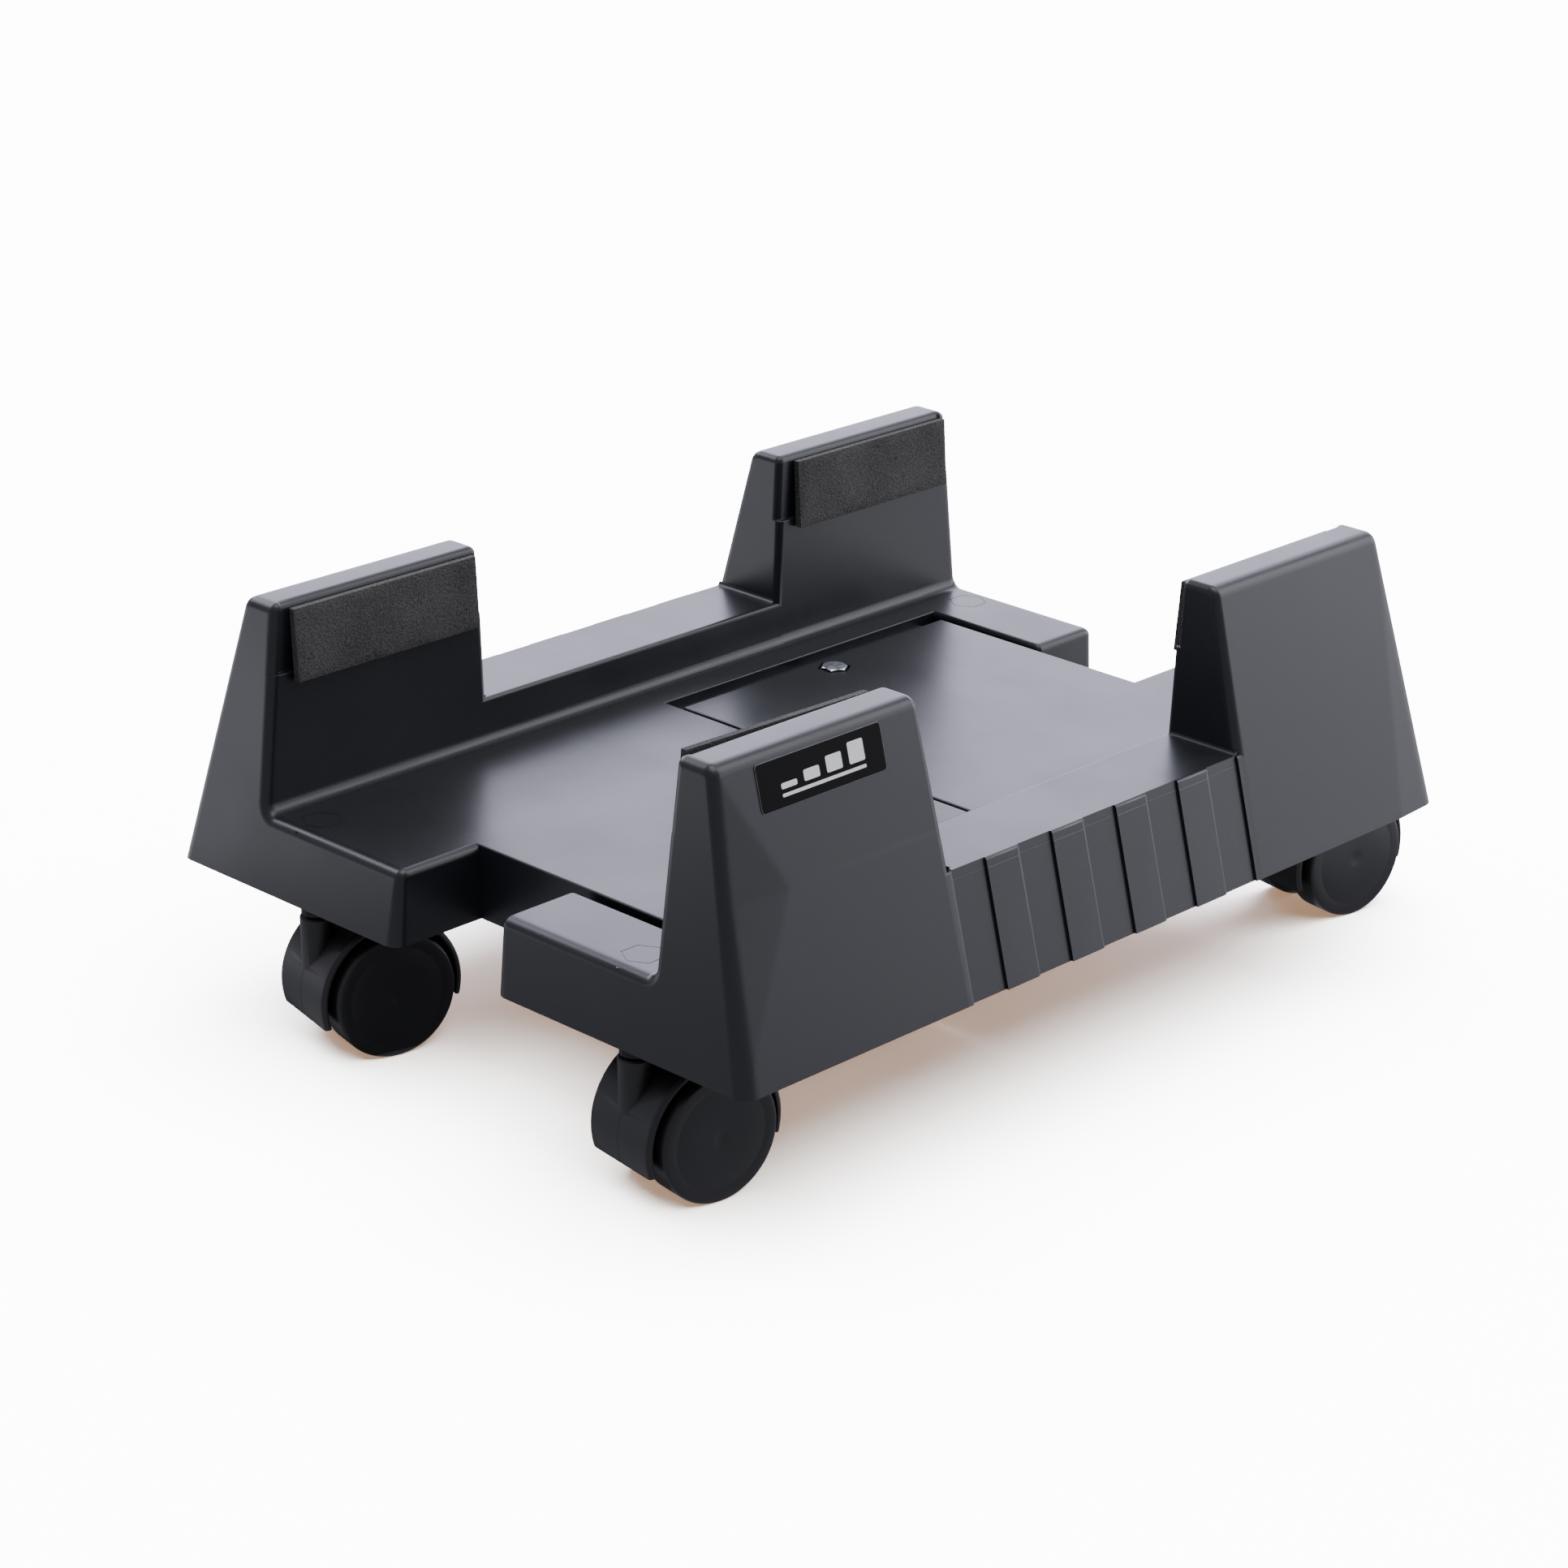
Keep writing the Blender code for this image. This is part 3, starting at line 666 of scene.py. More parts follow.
def add_bead(body, low, high, depth):
    foot, crest, sunk = BEAD_Z - BEAD_HALF, BEAD_Z + BEAD_HALF, depth + BEAD_SUNK
    section = [
        (side_x(foot, sunk), foot), (side_x(foot, depth), foot),
        (side_x(BEAD_Z, depth) + BEAD_PROUD, BEAD_Z),
        (side_x(crest, depth), crest), (side_x(crest, sunk), crest),
    ]
    combine(body, prism(section, "y", low, high), "UNION")


def cut_flutes(body):
    """Shallow grooves in the rail's outer wall, with one eased edge each, and a fine bead."""
    ease, sink = FLUTE_EASE
    for k in range(5):
        low = -4.5 * FLUTE_STEP + 2.0 * FLUTE_STEP * k
        high = low + FLUTE_STEP
        sections = ((low - ease, 0.0), (low, sink), (low + 0.002, FLUTE_DEPTH), (high, FLUTE_DEPTH))
        combine(body, stack([wall_slab(y, depth) for y, depth in sections]), "DIFFERENCE")
    for k in range(9):
        low = -4.5 * FLUTE_STEP + FLUTE_STEP * k
        rib = k % 2 == 1
        end = low + FLUTE_STEP - (ease if rib else 0.05)
        add_bead(body, low + 0.05, end, 0.0 if rib else FLUTE_DEPTH)


def add_shelf(body):
    top = DECK_Z - SKIN - SHELF_GAP
    bottom = top - SHELF_THICK
    shelf = block((SHELF_END_X, RECESS_X + 1.2), SHELF_Y, (bottom, top))
    for y in SHELF_RIBS_Y:
        heights = (bottom - 8.0, bottom + 1.0)
        rib = block((SHELF_END_X + 1.0, RECESS_X + 1.2), (y - 1.0, y + 1.0), heights)
        combine(shelf, rib, "UNION")
    combine(body, shelf, "UNION")
    slot = []
    for centre, start in ((-BOLT_X + CLOSE_TRAVEL, -90.0), (-BOLT_X - OPEN_TRAVEL, 90.0)):
        for k in range(17):
            a = math.radians(start + 11.25 * k)
            slot.append((centre + SLOT_HALF * math.cos(a), -BOLT_Y + SLOT_HALF * math.sin(a)))
    combine(body, prism(slot, "z", bottom - 3.0, top + 1.0), "DIFFERENCE")
    window = block(
        (RECESS_X - 1.0, RECESS_X + WALL + 1.1),
        (-BOLT_Y - CLEARANCE_Y, -BOLT_Y + CLEARANCE_Y),
        (BOTTOM_Z - 1.0, bottom),
    )
    combine(body, window, "DIFFERENCE")


def add_boss(body):
    low = DECK_Z - BOSS_DEPTH
    boss = turned([(0.0, low), (BOSS_R, low), (BOSS_R, DECK_Z - 1.0), (0.0, DECK_Z - 1.0)], "z", 48)
    combine(body, moved(boss, BOLT_X, BOLT_Y), "UNION")
    seat = DECK_Z - POCKET_DEPTH
    top = DECK_Z + 1.0
    pocket = turned([(0.0, seat), (POCKET_R, seat), (POCKET_R, top), (0.0, top)], "z", 6)
    combine(body, moved(pocket, BOLT_X, BOLT_Y), "DIFFERENCE")
    low, r = DECK_Z - 9.0, BOLT_HOLE_R
    hole = turned([(0.0, low), (r, low), (r, DECK_Z), (0.0, DECK_Z)], "z", 32)
    combine(body, moved(hole, BOLT_X, BOLT_Y), "DIFFERENCE")


def add_sockets(body):
    for side in (-1.0, 1.0):
        low, high = BOTTOM_Z + 2.0, DECK_Z - 1.0
        socket = turned([(0.0, low), (SOCKET_R, low), (SOCKET_R, high), (0.0, high)], "z", 6)
        combine(body, moved(socket, STEM_X, side * STEM_Y, turn=math.radians(30.0)), "UNION")
        low, high = CUT_Z - 3.0, SOCKET_BORE_TOP_Z
        bore = turned([(0.0, low), (SOCKET_BORE_R, low), (SOCKET_BORE_R, high), (0.0, high)], "z", 32)
        combine(body, moved(bore, STEM_X, side * STEM_Y), "DIFFERENCE")


def flank_fillet(side):
    """Small hollow round where a tower's flank meets the top of the rail."""
    r, sunk = RAIL_FILLET, 0.4
    foot = flank_y(RAIL_Z)
    points = [(foot + sunk, RAIL_Z - sunk), (foot - r, RAIL_Z - sunk)]
    for k in range(ARC_STEPS + 1):
        a = 0.5 * math.pi * k / ARC_STEPS
        points.append((foot - r + r * math.sin(a), RAIL_Z + r - r * math.cos(a)))
    points.append((foot + sunk, RAIL_Z + r))
    return prism([(side * y, z) for y, z in points], "x", inner_x(RAIL_Z) + 1.6, side_x(RAIL_Z) - 0.9)


def hex_mark(side):
    """Hairline hexagon that the socket under the deck prints through on the foot."""
    outer, inner, depth = 6.6, 6.3, 0.10
    ring = turned([
        (inner, DECK_Z - depth), (outer, DECK_Z - depth), (outer, DECK_Z + 1.0), (inner, DECK_Z + 1.0),
    ], "z", 6)
    return moved(ring, STEM_X, side * (STEM_Y - 3.2), turn=math.radians(30.0))


def fold_depth(y, z):
    """How far the outer wall of a tower is drawn in at (y, z)."""
    s = y + end_y(z)
    tent = (z - BOTTOM_Z) / (FOLD_Z - BOTTOM_Z) if z < FOLD_Z else (TOP_Z - z) / (TOP_Z - FOLD_Z)
    front = 0.0
    if tent > 0.0:
        front = FOLD_DEPTH * max(0.0, tent - max(s, 0.0) / FOLD_WIDE)
    wide = CORNER_WIDE * (TOP_Z - z) / (TOP_Z - BOTTOM_Z)
    return front + CORNER_LEAN * max(0.0, wide - (end_y(z) - y))


def fold_walls(body):
    """Soft folds in the outer walls: crease lines are cut in, then the corners are drawn in."""
    bm = bmesh.new()
    bm.from_mesh(body.data)
    reach = OUTER_ROUND * 1.1

    def depth(co):
        return side_x(co.z / MM) - co.x / MM

    edge_y = -end_y(FOLD_Z)
    cuts = [
        ((-end_y(BOTTOM_Z), BOTTOM_Z), (edge_y + FOLD_WIDE, FOLD_Z)),
        ((edge_y + FOLD_WIDE, FOLD_Z), (-end_y(TOP_Z), TOP_Z)),
        ((edge_y, FOLD_Z), (edge_y + FOLD_WIDE, FOLD_Z)),
        ((end_y(TOP_Z), TOP_Z), (end_y(BOTTOM_Z) - CORNER_WIDE, BOTTOM_Z)),
    ]
    for (y0, z0), (y1, z1) in cuts:
        low, high = min(y0, y1) - 4.0, max(y0, y1) + 4.0
        faces = [
            f for f in bm.faces
            if all(-0.1 < depth(v.co) < reach for v in f.verts) and f.normal.x > 0.2
            and any(low < v.co.y / MM < high for v in f.verts)
        ]
        geom = list({v for f in faces for v in f.verts})
        geom += list({e for f in faces for e in f.edges}) + faces
        normal = Vector((0.0, z1 - z0, y0 - y1)).normalized()
        for offset in (-CREASE_HALF, 0.0, CREASE_HALF):
            at = Vector((0.0, y0, z0)) + normal * offset
            cut = bmesh.ops.bisect_plane(bm, geom=geom, plane_co=at * MM, plane_no=normal, dist=1e-6)
            geom = list({g for g in geom if g.is_valid} | set(cut["geom"]) | set(cut["geom_cut"]))
    for v in bm.verts:
        share = 1.0 - depth(v.co) / OUTER_ROUND
        if share > 0.0 and abs(v.co.y / MM) > TOWER_LOW_Y:
            v.co.x -= fold_depth(v.co.y / MM, v.co.z / MM) * min(share, 1.0) * MM
    bm.to_mesh(body.data)
    bm.free()


def half_mesh():
    body = end_block(-1.0)
    for part in (
        end_block(1.0), tower_block(-1.0), tower_block(1.0),
        run_along_y(rail_corners(), lambda z: -135.0, lambda z: 135.0),
        tongue_block(),
    ):
        combine(body, part, "UNION")
    for side in (-1.0, 1.0):
        combine(body, flank_fillet(side), "UNION")
    cut_flutes(body)
    combine(body, hollow_deck(), "DIFFERENCE")
    combine(body, hollow_side(), "DIFFERENCE")
    combine(body, block((-200.0, 200.0), (-200.0, 200.0), (CUT_Z - 20.0, BOTTOM_Z)), "DIFFERENCE")
    add_shelf(body)
    add_boss(body)
    add_sockets(body)
    for side in (-1.0, 1.0):
        combine(body, hex_mark(side), "DIFFERENCE")
    fold_walls(body)
    return body


def build_halves():
    right = half_mesh()
    left = right.copy()
    left.data = right.data.copy()
    bpy.context.scene.collection.objects.link(left)
    left.data.transform(Matrix.Rotation(math.pi, 4, "Z"))
    finish(right, "half_right_shell", MATS["shell"], "right_body", ["right_half"])
    finish(left, "half_left_shell", MATS["shell"], "left_body", ["left_half"])


# ---- casters ---------------------------------------------------------------------
def hood_mesh():
    """Fender swept over both wheels, with a moulding seam, rim chamfers, web and boss."""
    rim, seam = 1.1, 0.18
    section = [
        (-HOOD_HALF, HOOD_INNER_R), (-HOOD_HALF, HOOD_R - rim), (-HOOD_HALF + rim * 0.8, HOOD_R - 0.15),
        (-HOOD_HALF + rim * 1.6, HOOD_R), (-0.35, HOOD_R), (0.0, HOOD_R - seam), (0.35, HOOD_R),
        (HOOD_HALF - rim * 1.6, HOOD_R), (HOOD_HALF - rim * 0.8, HOOD_R - 0.15),
        (HOOD_HALF, HOOD_R - rim), (HOOD_HALF, HOOD_INNER_R),
    ]
    steps = 56
    angles = [math.radians(HOOD_FRONT + (HOOD_REAR - HOOD_FRONT) * k / steps) for k in range(steps + 1)]
    rings = []
    for a in angles:
        rings.append([(x, TRAIL - r * math.cos(a), WHEEL_R + r * math.sin(a)) for x, r in section])
    body = bevelled(stack(rings, "hood"), 0.25, 2, 40.0)
    mid, hub = HOOD_R - 1.0, 7.0
    web = [(TRAIL - mid * math.cos(a), WHEEL_R + mid * math.sin(a)) for a in angles]
    for k in range(13):
        a = math.radians(-30.0 - 10.0 * k)
        web.append((TRAIL + hub * math.cos(a), WHEEL_R + hub * math.sin(a)))
    combine(body, prism(web, "x", -WEB_HALF, WEB_HALF), "UNION")
    boss = turned([
        (0.0, 19.0), (3.4, 19.0), (4.5, 20.2),
        (5.1, BOSS_TOP_Z - 0.5), (4.7, BOSS_TOP_Z), (0.0, BOSS_TOP_Z),
    ], "z", 48)
    combine(body, boss, "UNION")
    bore = turned([(0.0, 23.0), (3.08, 23.0), (3.08, 60.0), (0.0, 60.0)], "z", 32)
    combine(body, bore, "DIFFERENCE")
    hole = turned([(0.0, -6.0), (2.3, -6.0), (2.3, 6.0), (0.0, 6.0)], "x", 32)
    combine(body, moved(hole, 0.0, TRAIL, WHEEL_R), "DIFFERENCE")
    return body


def wheel_mesh(side):
    """Cup-shaped wheel; its face has a rounded rim, a faint ring and a shallow dimple."""
    out = WHEEL_OUT
    profile = [
        (2.08, 3.4), (2.08, 15.3), (0.0, 15.3), (0.0, out - 0.45), (1.2, out - 0.42), (2.4, out - 0.15),
        (3.2, out - 0.10), (8.0, out - 0.06), (15.4, out - 0.02), (15.7, out - 0.10), (16.0, out - 0.02),
        (WHEEL_R - 1.1, out), (WHEEL_R - 0.6, out - 0.12), (WHEEL_R - 0.2, out - 0.45),
        (WHEEL_R, out - 1.0), (WHEEL_R, WHEEL_IN + 0.5), (WHEEL_R - 0.5, WHEEL_IN),
        (17.6, WHEEL_IN), (17.4, 14.6), (4.4, 14.6), (4.2, 3.4),
    ]
    body = turned([(r, side * d) for r, d in profile], "x", 96)
    return moved(body, 0.0, TRAIL, WHEEL_R)


def build_casters():
    for name, (sx, sy, degrees) in CASTERS.items():
        tag = "caster_" + name
        x, y, turn = sx * STEM_X, sy * STEM_Y, math.radians(degrees)
        hood = moved(hood_mesh(), x, y, turn=turn)
        finish(hood, tag + "_fender", MATS["hood"], tag + "_swivel_body",
               [tag + "_hood"])
        for word, side in (("right", 1.0), ("left", -1.0)):
            wheel = moved(wheel_mesh(side), x, y, turn=turn)
            finish(
                wheel, f"{tag}_roller_{word}", MATS["wheel"], f"{tag}_wheel_{word}_body",
                [f"{tag}_wheel_{word}"], weighted=False,
            )


# ---- clamping bolts --------------------------------------------------------------
HEAD_LOW_Z = 71.7
HEAD_R = 4.6
HEAD_HIGH = 3.5
SHANK_R = 2.5
SHANK_LOW_Z = 56.0
THREAD_PITCH = 0.8
WASHER_Z = (66.75, 67.95)
WASHER_R = 9.9
NUT_TOP_Z = 66.3
NUT_TURN = 90.0         # degrees from +X at which the wings stand


def hex_head(low, high):
    """Hexagon head whose corners are turned down by a shallow cone."""
    head = turned([(0.0, low), (HEAD_R, low), (HEAD_R, high), (0.0, high)], "z", 6)
    cone = turned([
        (0.0, low - 1.0), (HEAD_R + 0.6, low - 1.0), (HEAD_R + 0.6, high - 0.95),
        (HEAD_R * 0.86, high), (0.0, high),
    ], "z", 72)
    return bevelled(combine(head, cone, "INTERSECT"), 0.12, 2, 25.0)


def bolt_mesh():
    bolt = hex_head(HEAD_LOW_Z, HEAD_LOW_Z + HEAD_HIGH)
    profile = [(0.0, SHANK_LOW_Z), (SHANK_R - 0.7, SHANK_LOW_Z)]
    z = SHANK_LOW_Z + 0.5
    while z < HEAD_LOW_Z - 6.0:
        profile += [(SHANK_R - 0.38, z), (SHANK_R, z + 0.5 * THREAD_PITCH)]
        z += THREAD_PITCH
    profile += [(SHANK_R - 0.1, z), (SHANK_R - 0.1, HEAD_LOW_Z + 1.0), (0.0, HEAD_LOW_Z + 1.0)]
    return combine(bolt, turned(profile, "z", 40), "UNION")


def wing_nut_mesh():
    """Cast wing nut: a tapered hub and two thick rounded wings that lean outwards."""
    top = NUT_TOP_Z
    hub = turned([
        (BOLT_HOLE_R, top), (BOLT_HOLE_R, top - 5.5), (5.0, top - 5.5), (5.3, top - 5.2), (5.9, top - 1.2),
        (5.9, top - 0.3), (5.6, top),
    ], "z", 56)
    outline = [
        (4.4, top - 1.0), (7.6, top - 1.5), (10.4, top - 3.2), (12.3, top - 5.9), (13.2, top - 8.2),
        (13.2, top - 9.8), (12.4, top - 10.8), (11.2, top - 10.9), (9.6, top - 9.7), (7.9, top - 7.9),
        (6.2, top - 6.0), (4.4, top - 5.0),
    ]
    for side in (-1.0, 1.0):
        wing = bevelled(prism([(side * x, z) for x, z in outline], "y", -0.98, 0.98), 0.42, 3, 50.0)
        combine(hub, wing, "UNION")
    return hub


def washer_mesh():
    low, high = WASHER_Z
    bore, rim = BOLT_HOLE_R, WASHER_R
    ease = 0.18
    return turned([
        (bore, low + ease), (bore + ease, low), (rim - ease, low), (rim, low + ease),
        (rim, high - ease), (rim - ease, high), (bore + ease, high), (bore, high - ease),
    ], "z", 72)


def build_clamps():
    for name, side in (("right", 1.0), ("left", -1.0)):
        x, y = side * BOLT_X, side * BOLT_Y
        body = name + "_body"
        finish(moved(bolt_mesh(), x, y), f"bolt_{name}_turned", MATS["zinc"], body,
               ["bolt_" + name])
        finish(moved(washer_mesh(), x, y), f"washer_{name}_turned", MATS["zinc"], body,
               ["washer_" + name])
        nut = moved(wing_nut_mesh(), x, y, turn=math.radians(NUT_TURN))
        finish(nut, f"wing_nut_{name}_cast", MATS["zinc"], f"wing_nut_{name}_body",
               ["wing_nut_" + name])


# ---- foam pads -------------------------------------------------------------------
PAD_GRID = (44, 15)     # cells along and up the face of a pad
PAD_LENGTH = 72.0       # rough size, only used to ease the cut edges
PAD_HEIGHT = 22.0
PAD_EASE = 1.3          # width of the eased strip along a cut edge
PAD_EDGE = 0.16         # share of the thickness lost at a cut edge
PAD_SWELL = 0.10        # half the height of the waves in the face


def pad_shape(u, v):
    """Share of the pad's thickness left at (u, v) on its face: the cut edges are eased."""
    near = min(u, 1.0 - u) * PAD_LENGTH, min(v, 1.0 - v) * PAD_HEIGHT
    ease = [1.0 - max(0.0, 1.0 - d / PAD_EASE) ** 2 for d in near]
    return min(ease)


def build_pad(name, body):
    """Foam strip on the slanted plane of its CAD solid, slightly swollen and uneven."""
    verts = [v.co.copy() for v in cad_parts[name].data.vertices]
    side = 1.0 if verts[0].x > 0.0 else -1.0
    low_y, high_y = min(v.y for v in verts), max(v.y for v in verts)
    ends = {}
    for key, y in (("low", low_y), ("high", high_y)):
        ring = [v for v in verts if abs(v.y - y) < 0.2 * MM]
        base, top = min(v.z for v in ring), max(v.z for v in ring)
        at = {"base": base, "top": top}
        for word, z in (("base", base), ("top", top)):
            xs = [abs(v.x) for v in ring if abs(v.z - z) < 0.2 * MM]
            at[word + "_front"], at[word + "_back"] = min(xs), max(xs)
        ends[key] = at

    def point(u, v, depth):
        a, b = ends["low"], ends["high"]
        z_low = a["base"] + (a["top"] - a["base"]) * v
        z_high = b["base"] + (b["top"] - b["base"]) * v
        front = a["base_front"] + (a["top_front"] - a["base_front"]) * v
        back = a["base_back"] + (a["top_back"] - a["base_back"]) * v
        x = front + (back - front) * depth
        return Vector((side * x, low_y + (high_y - low_y) * u, z_low + (z_high - z_low) * u))

    nu, nv = PAD_GRID
    bm = bmesh.new()
    layers = {}
    for layer in ("front", "back"):
        for i in range(nu + 1):
            for j in range(nv + 1):
                u, v = i / nu, j / nv
                if layer == "back":
                    spot = point(u, v, 1.0)
                else:
                    eased = pad_shape(u, v)
                    spot = point(u, v, (1.0 - eased) * PAD_EDGE)
                    wave = math.sin(23.0 * u + 2.0) * math.sin(7.0 * v + 1.0)
                    spot.x += side * PAD_SWELL * MM * (1.0 + wave) * eased
                layers[layer, i, j] = bm.verts.new(spot)
    for i in range(nu):
        for j in range(nv):
            for layer in ("front", "back"):
                around = ((i, j), (i + 1, j), (i + 1, j + 1), (i, j + 1))
                bm.faces.new([layers[layer, a, b] for a, b in around])
    rim = [(i, 0) for i in range(nu)] + [(nu, j) for j in range(nv)]
    rim += [(i, nv) for i in range(nu, 0, -1)] + [(0, j) for j in range(nv, 0, -1)]
    for (i, j), (m, n) in zip(rim, rim[1:] + rim[:1]):
        corners = (("front", i, j), ("front", m, n), ("back", m, n), ("back", i, j))
        bm.faces.new([layers[corner] for corner in corners])
    pad = object_from(bm, name + "_foam")
    # the pads on the right half take a copy of the foam with a fainter painted highlight on the top edge
    pad.data.materials.append(MATS["foam_faint_highlight" if body == "right_body" else "foam"])
    pad.data.shade_smooth()
    pad.data.set_sharp_from_angle(angle=math.radians(38.0))
    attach(pad, body)
    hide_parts(name)


def build_pads():
    for side in ("left", "right"):
        for end in ("front", "rear"):
            build_pad(f"pad_{side}_{end}", side + "_body")


# ---- sticker ---------------------------------------------------------------------
PAPER = (0.10, 0.20)    # lift off the wall and thickness of each layer
FACE = (0.30, 0.08)
INK = (0.38, 0.03)
BARS = 4
BAR_START = 8.5         # along the sticker, to the first bar
BAR_STEP = 9.0
BAR_WIDE = 6.2


def on_label(u, v, lift):
    """Point on the sticker: u along the stand, v up the slope from its lower edge, in mm."""
    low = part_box("label")[0]
    z = low.z / MM + v * math.cos(math.atan(SIDE_SLOPE))
    return side_x(z) + lift, low.y / MM - SHIFT_Y + u, z


def label_patch(outline, layer, name, material):
    lift, thick = layer
    rings = [[on_label(u, v, height) for u, v in outline] for height in (lift, lift + thick)]
    obj = stack(rings, name)
    obj.data.transform(Matrix.Translation((0.0, SHIFT_Y * MM, 0.0)))
    obj.data.materials.append(MATS[material])
    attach(obj, "right_body")
    return obj


def rounded_rect(low_u, high_u, low_v, high_v, radius):
    corners = [(low_u, low_v), (high_u, low_v), (high_u, high_v), (low_u, high_v)]
    return rounded_outline([(u, v, radius) for u, v in corners])


def build_label():
    """Generic sticker: a black field with a plain mark of four bars, and no lettering."""
    low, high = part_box("label")
    length = (high.y - low.y) / MM
    rise = (high.z - low.z) / MM / math.cos(math.atan(SIDE_SLOPE))
    paper = label_patch(rounded_rect(0.0, length, 0.0, rise, 1.1), PAPER, "sticker_base", "paper")
    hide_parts("label")
    rim = 0.16
    inner = rounded_rect(rim, length - rim, rim, rise - rim, 1.0)
    label_patch(inner, FACE, "sticker_face", "face")
    for k in range(BARS):
        start, foot = BAR_START + BAR_STEP * k, 0.36 * rise
        bar = rounded_rect(start, start + BAR_WIDE, foot, foot + (0.12 + 0.11 * k) * rise, 0.55)
        label_patch(bar, INK, f"sticker_bar_{k + 1}", "print")
    end = BAR_START + BAR_STEP * (BARS - 1) + BAR_WIDE
    line = rounded_rect(BAR_START, end, 0.20 * rise, 0.27 * rise, 0.3)
    label_patch(line, INK, "sticker_line", "print")


# ---- camera, light and floor -----------------------------------------------------
FLOOR_SIZE = 60.0       # metres
FLOOR_COLOUR = (0.90, 0.90, 0.90)
FLOOR_GLOW = (0.42, 0.24, 0.12)
FLOOR_LIGHT = 41.0
ROOM_LIGHT = 0.50
PAINTED_REFLECTION_Z = 0.002          # metres above the floor


def add_camera():
    data = bpy.data.cameras.new("camera")
    data.lens = 95.58
    data.sensor_width = 36.0
    data.shift_x = -0.0092
    data.shift_y = 0.0003
    camera = bpy.data.objects.new("camera", data)
    bpy.context.scene.collection.objects.link(camera)
    camera.location = Vector((828.74, -882.41 + SHIFT_Y, 544.04)) * MM
    camera.rotation_euler = [math.radians(a) for a in (68.436, -0.861, 43.904)]
    data.clip_start = 0.05
    bpy.context.scene.camera = camera


def add_softbox(name, size_m, place_m, target_m, radiance, colour=(1.0, 1.0, 1.0)):
    """Rectangular light, given by the radiance of its face, so that size doesn't change it."""
    data = bpy.data.lights.new(name, "AREA")
    data.shape = "RECTANGLE"
    data.size, data.size_y = size_m
    data.energy = radiance * math.pi * size_m[0] * size_m[1]
    data.color = colour
    light = bpy.data.objects.new(name, data)
    bpy.context.scene.collection.objects.link(light)
    light.location = place_m
    aim = Vector(target_m) - Vector(place_m)
    light.rotation_euler = aim.to_track_quat("-Z", "Y").to_euler()
    light.visible_camera = False
    return light


def add_painted_reflection(name, x_m, y_m, radiance):
    """Glowing sheet on the floor, seen only in the sheen of the plastic: the bright ones are painted
    reflections of the pale floor, the dim one is painted shade of the floor under the stand.
    """
    mesh = bpy.data.meshes.new(name)
    (x0, x1), (y0, y1) = x_m, y_m
    corners = [(x, y, PAINTED_REFLECTION_Z) for x, y in ((x0, y0), (x1, y0), (x1, y1), (x0, y1))]
    mesh.from_pydata(corners, [], [(0, 1, 2, 3)])
    sheet = bpy.data.objects.new(name, mesh)
    bpy.context.scene.collection.objects.link(sheet)
    paint = Paint(name, (0.0, 0.0, 0.0), 1.0)
    paint.shader.inputs["Specular IOR Level"].default_value = 0.0
    paint.shader.inputs["Emission Color"].default_value = (0.90, 0.905, 1.0, 1.0)
    paint.shader.inputs["Emission Strength"].default_value = radiance
    mesh.materials.append(paint.mat)
    sheet.visible_camera = False
    sheet.visible_diffuse = False
    sheet.visible_shadow = False
    sheet.visible_transmission = False


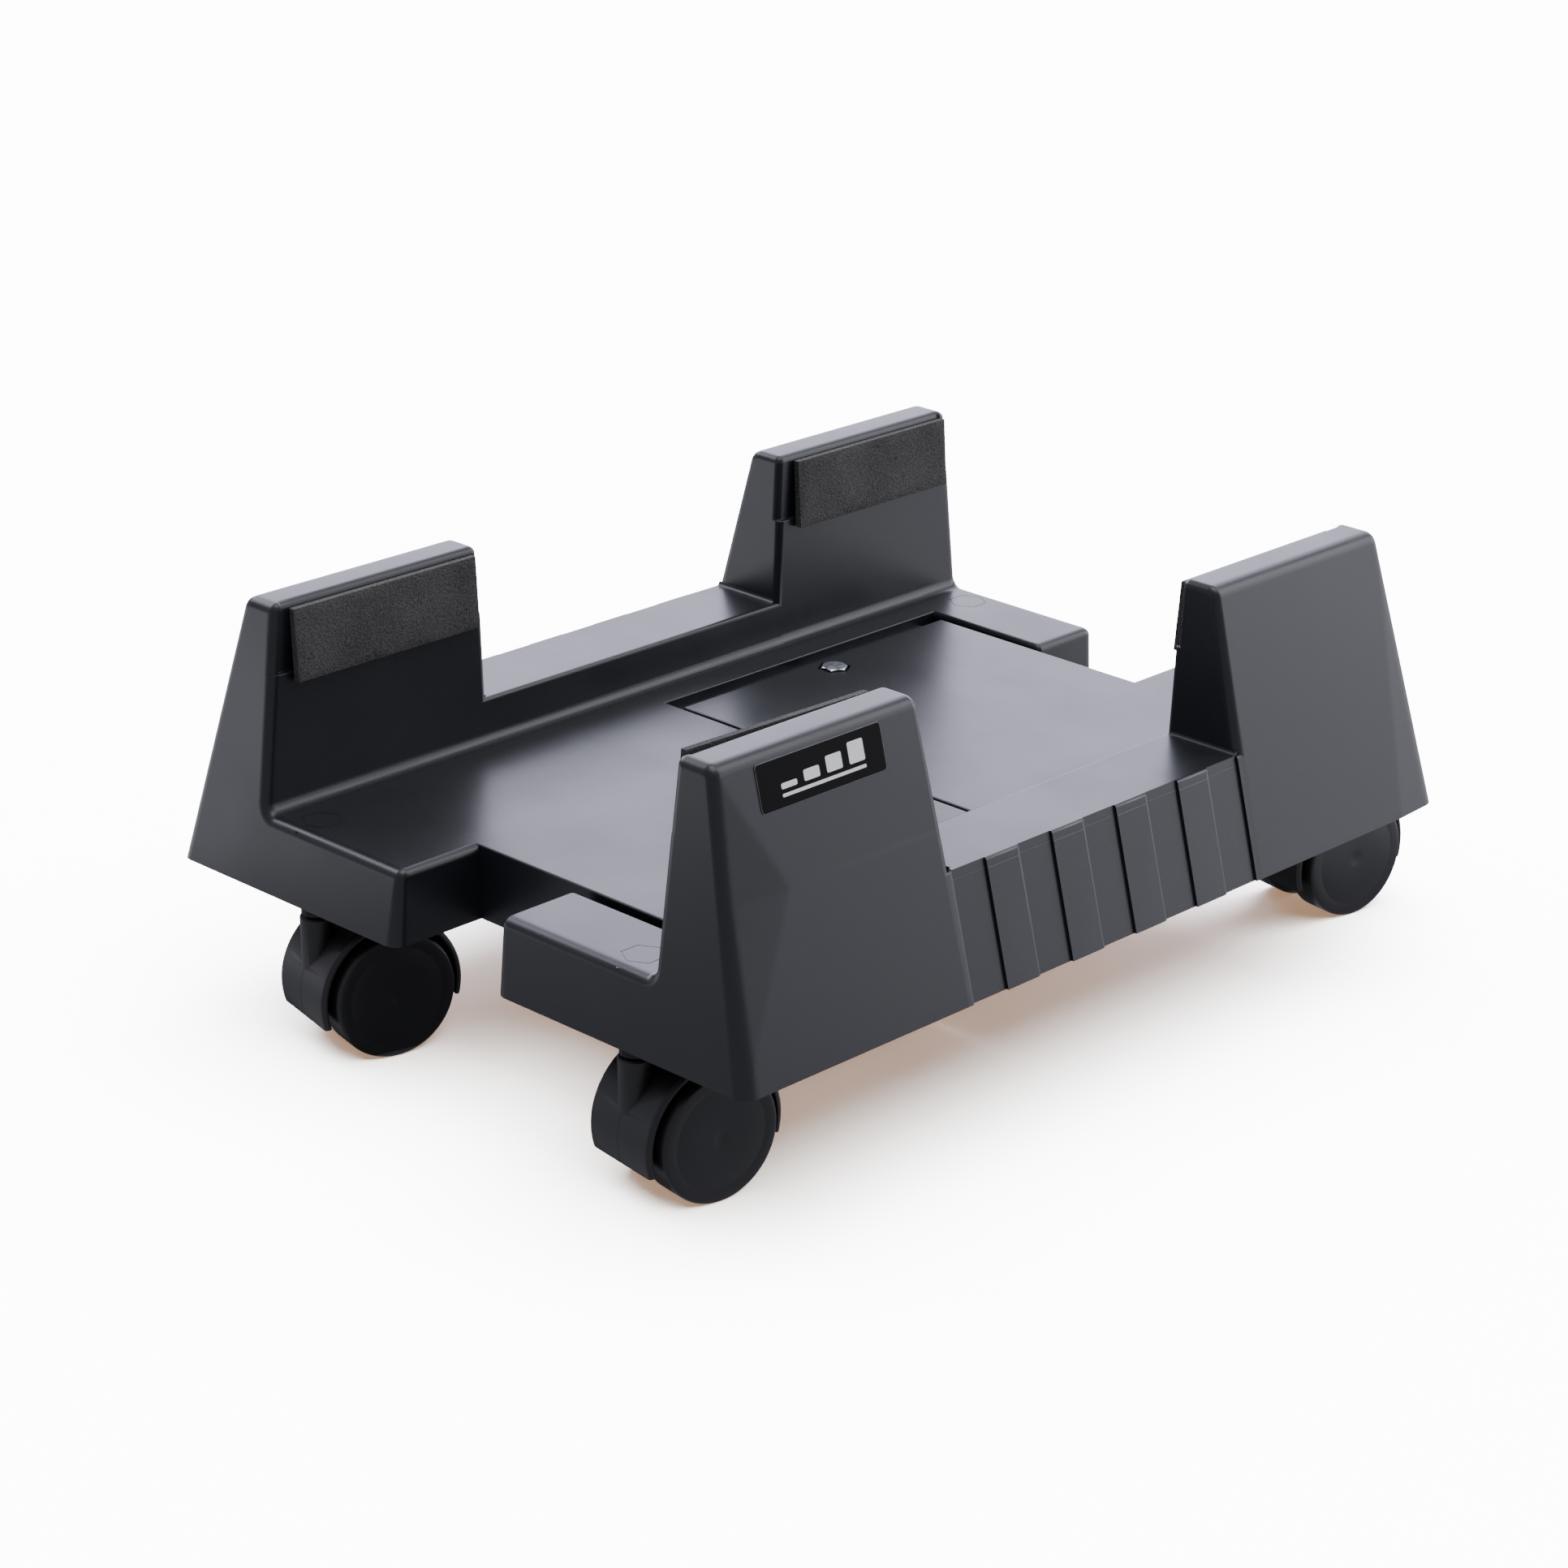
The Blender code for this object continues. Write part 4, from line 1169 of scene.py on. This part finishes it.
def add_floor():
    """Pale floor with a light of its own, so that it is bright without lighting the stand."""
    mesh = bpy.data.meshes.new("floor")
    bm = bmesh.new()
    bmesh.ops.create_grid(bm, x_segments=1, y_segments=1, size=FLOOR_SIZE)
    bm.to_mesh(mesh)
    bm.free()
    floor = bpy.data.objects.new("floor", mesh)
    bpy.context.scene.collection.objects.link(floor)
    paint = Paint("floor", FLOOR_COLOUR, 0.9)
    paint.shader.inputs["Specular IOR Level"].default_value = 0.0
    paint.shader.inputs["Emission Color"].default_value = (*FLOOR_GLOW, 1.0)
    paint.shader.inputs["Emission Strength"].default_value = 1.0
    floor.data.materials.append(paint.mat)
    floor.visible_diffuse = False
    floor.visible_glossy = False

    data = bpy.data.lights.new("floor light", "SUN")
    data.energy = FLOOR_LIGHT
    data.angle = math.radians(88.0)
    sun = bpy.data.objects.new("floor light", data)
    bpy.context.scene.collection.objects.link(sun)
    sun.rotation_euler = Vector((-0.08, -0.04, -1.0)).to_track_quat("-Z", "Y").to_euler()
    group = bpy.data.collections.new("lit by the floor light")
    group.objects.link(floor)
    sun.light_linking.receiver_collection = group


def add_studio():
    world = bpy.data.worlds.new("studio")
    world.use_nodes = True
    world.node_tree.nodes["Background"].inputs["Color"].default_value = (0.87, 0.875, 1.0, 1.0)
    world.node_tree.nodes["Background"].inputs["Strength"].default_value = ROOM_LIGHT
    bpy.context.scene.world = world
    centre = (0.0, 0.0, 0.06)
    add_softbox("back softbox", (3.6, 2.4), (-1.65, 1.8, 1.05), centre, 4.2, (0.81, 0.81, 1.0))
    add_softbox("right softbox", (2.0, 1.5), (1.42, 2.05, 0.72), centre, 1.9, (0.90, 0.90, 1.0))
    add_softbox("rear softbox", (1.1, 1.3), (0.90, 2.25, 0.62), centre, 3.2, (0.87, 0.875, 1.0))
    add_softbox("top softbox", (1.6, 1.6), (0.2, 0.1, 2.1), centre, 3.2, (1.0, 1.0, 1.0))
    add_softbox("upper left softbox", (1.1, 0.8), (-1.70, -0.30, 1.40), centre, 6.8, (0.86, 0.87, 1.0))
    add_softbox("upper right softbox", (0.9, 0.9), (0.80, 1.30, 1.45), centre, 3.5, (0.98, 0.99, 1.0))
    # painted reflections of the lit floor, seen only in the sheen of the plastic
    add_painted_reflection("painted floor reflection left", (-1.0, -0.24), (-1.0, 0.10), 2.1)
    add_painted_reflection("painted floor reflection rear", (-0.25, 0.90), (0.24, 1.20), 1.5)
    add_painted_reflection("painted floor reflection right", (0.128, 0.90), (0.06, 0.24), 1.25)
    # painted shade: a dim sheet under the stand stands in for the floor's shadow in the sheen of the
    # plastic
    add_painted_reflection("painted shade under the stand", (-0.12, 0.08), (-0.17, 0.17), 0.12)
    add_floor()


def paint_cad():
    """Pins, grip rings and axles stay as the CAD solids, which only need a material."""
    for name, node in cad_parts.items():
        if name.endswith(("_pin", "_grip_ring", "_axle")):
            node.data.materials.clear()
            # painted shade: these parts take the nearly black steel, dark for the shadow the pins sit in
            # under the deck
            node.data.materials.append(MATS["dark"])


add_camera()
add_studio()
build_halves()
build_casters()
build_clamps()
build_pads()
build_label()
paint_cad()
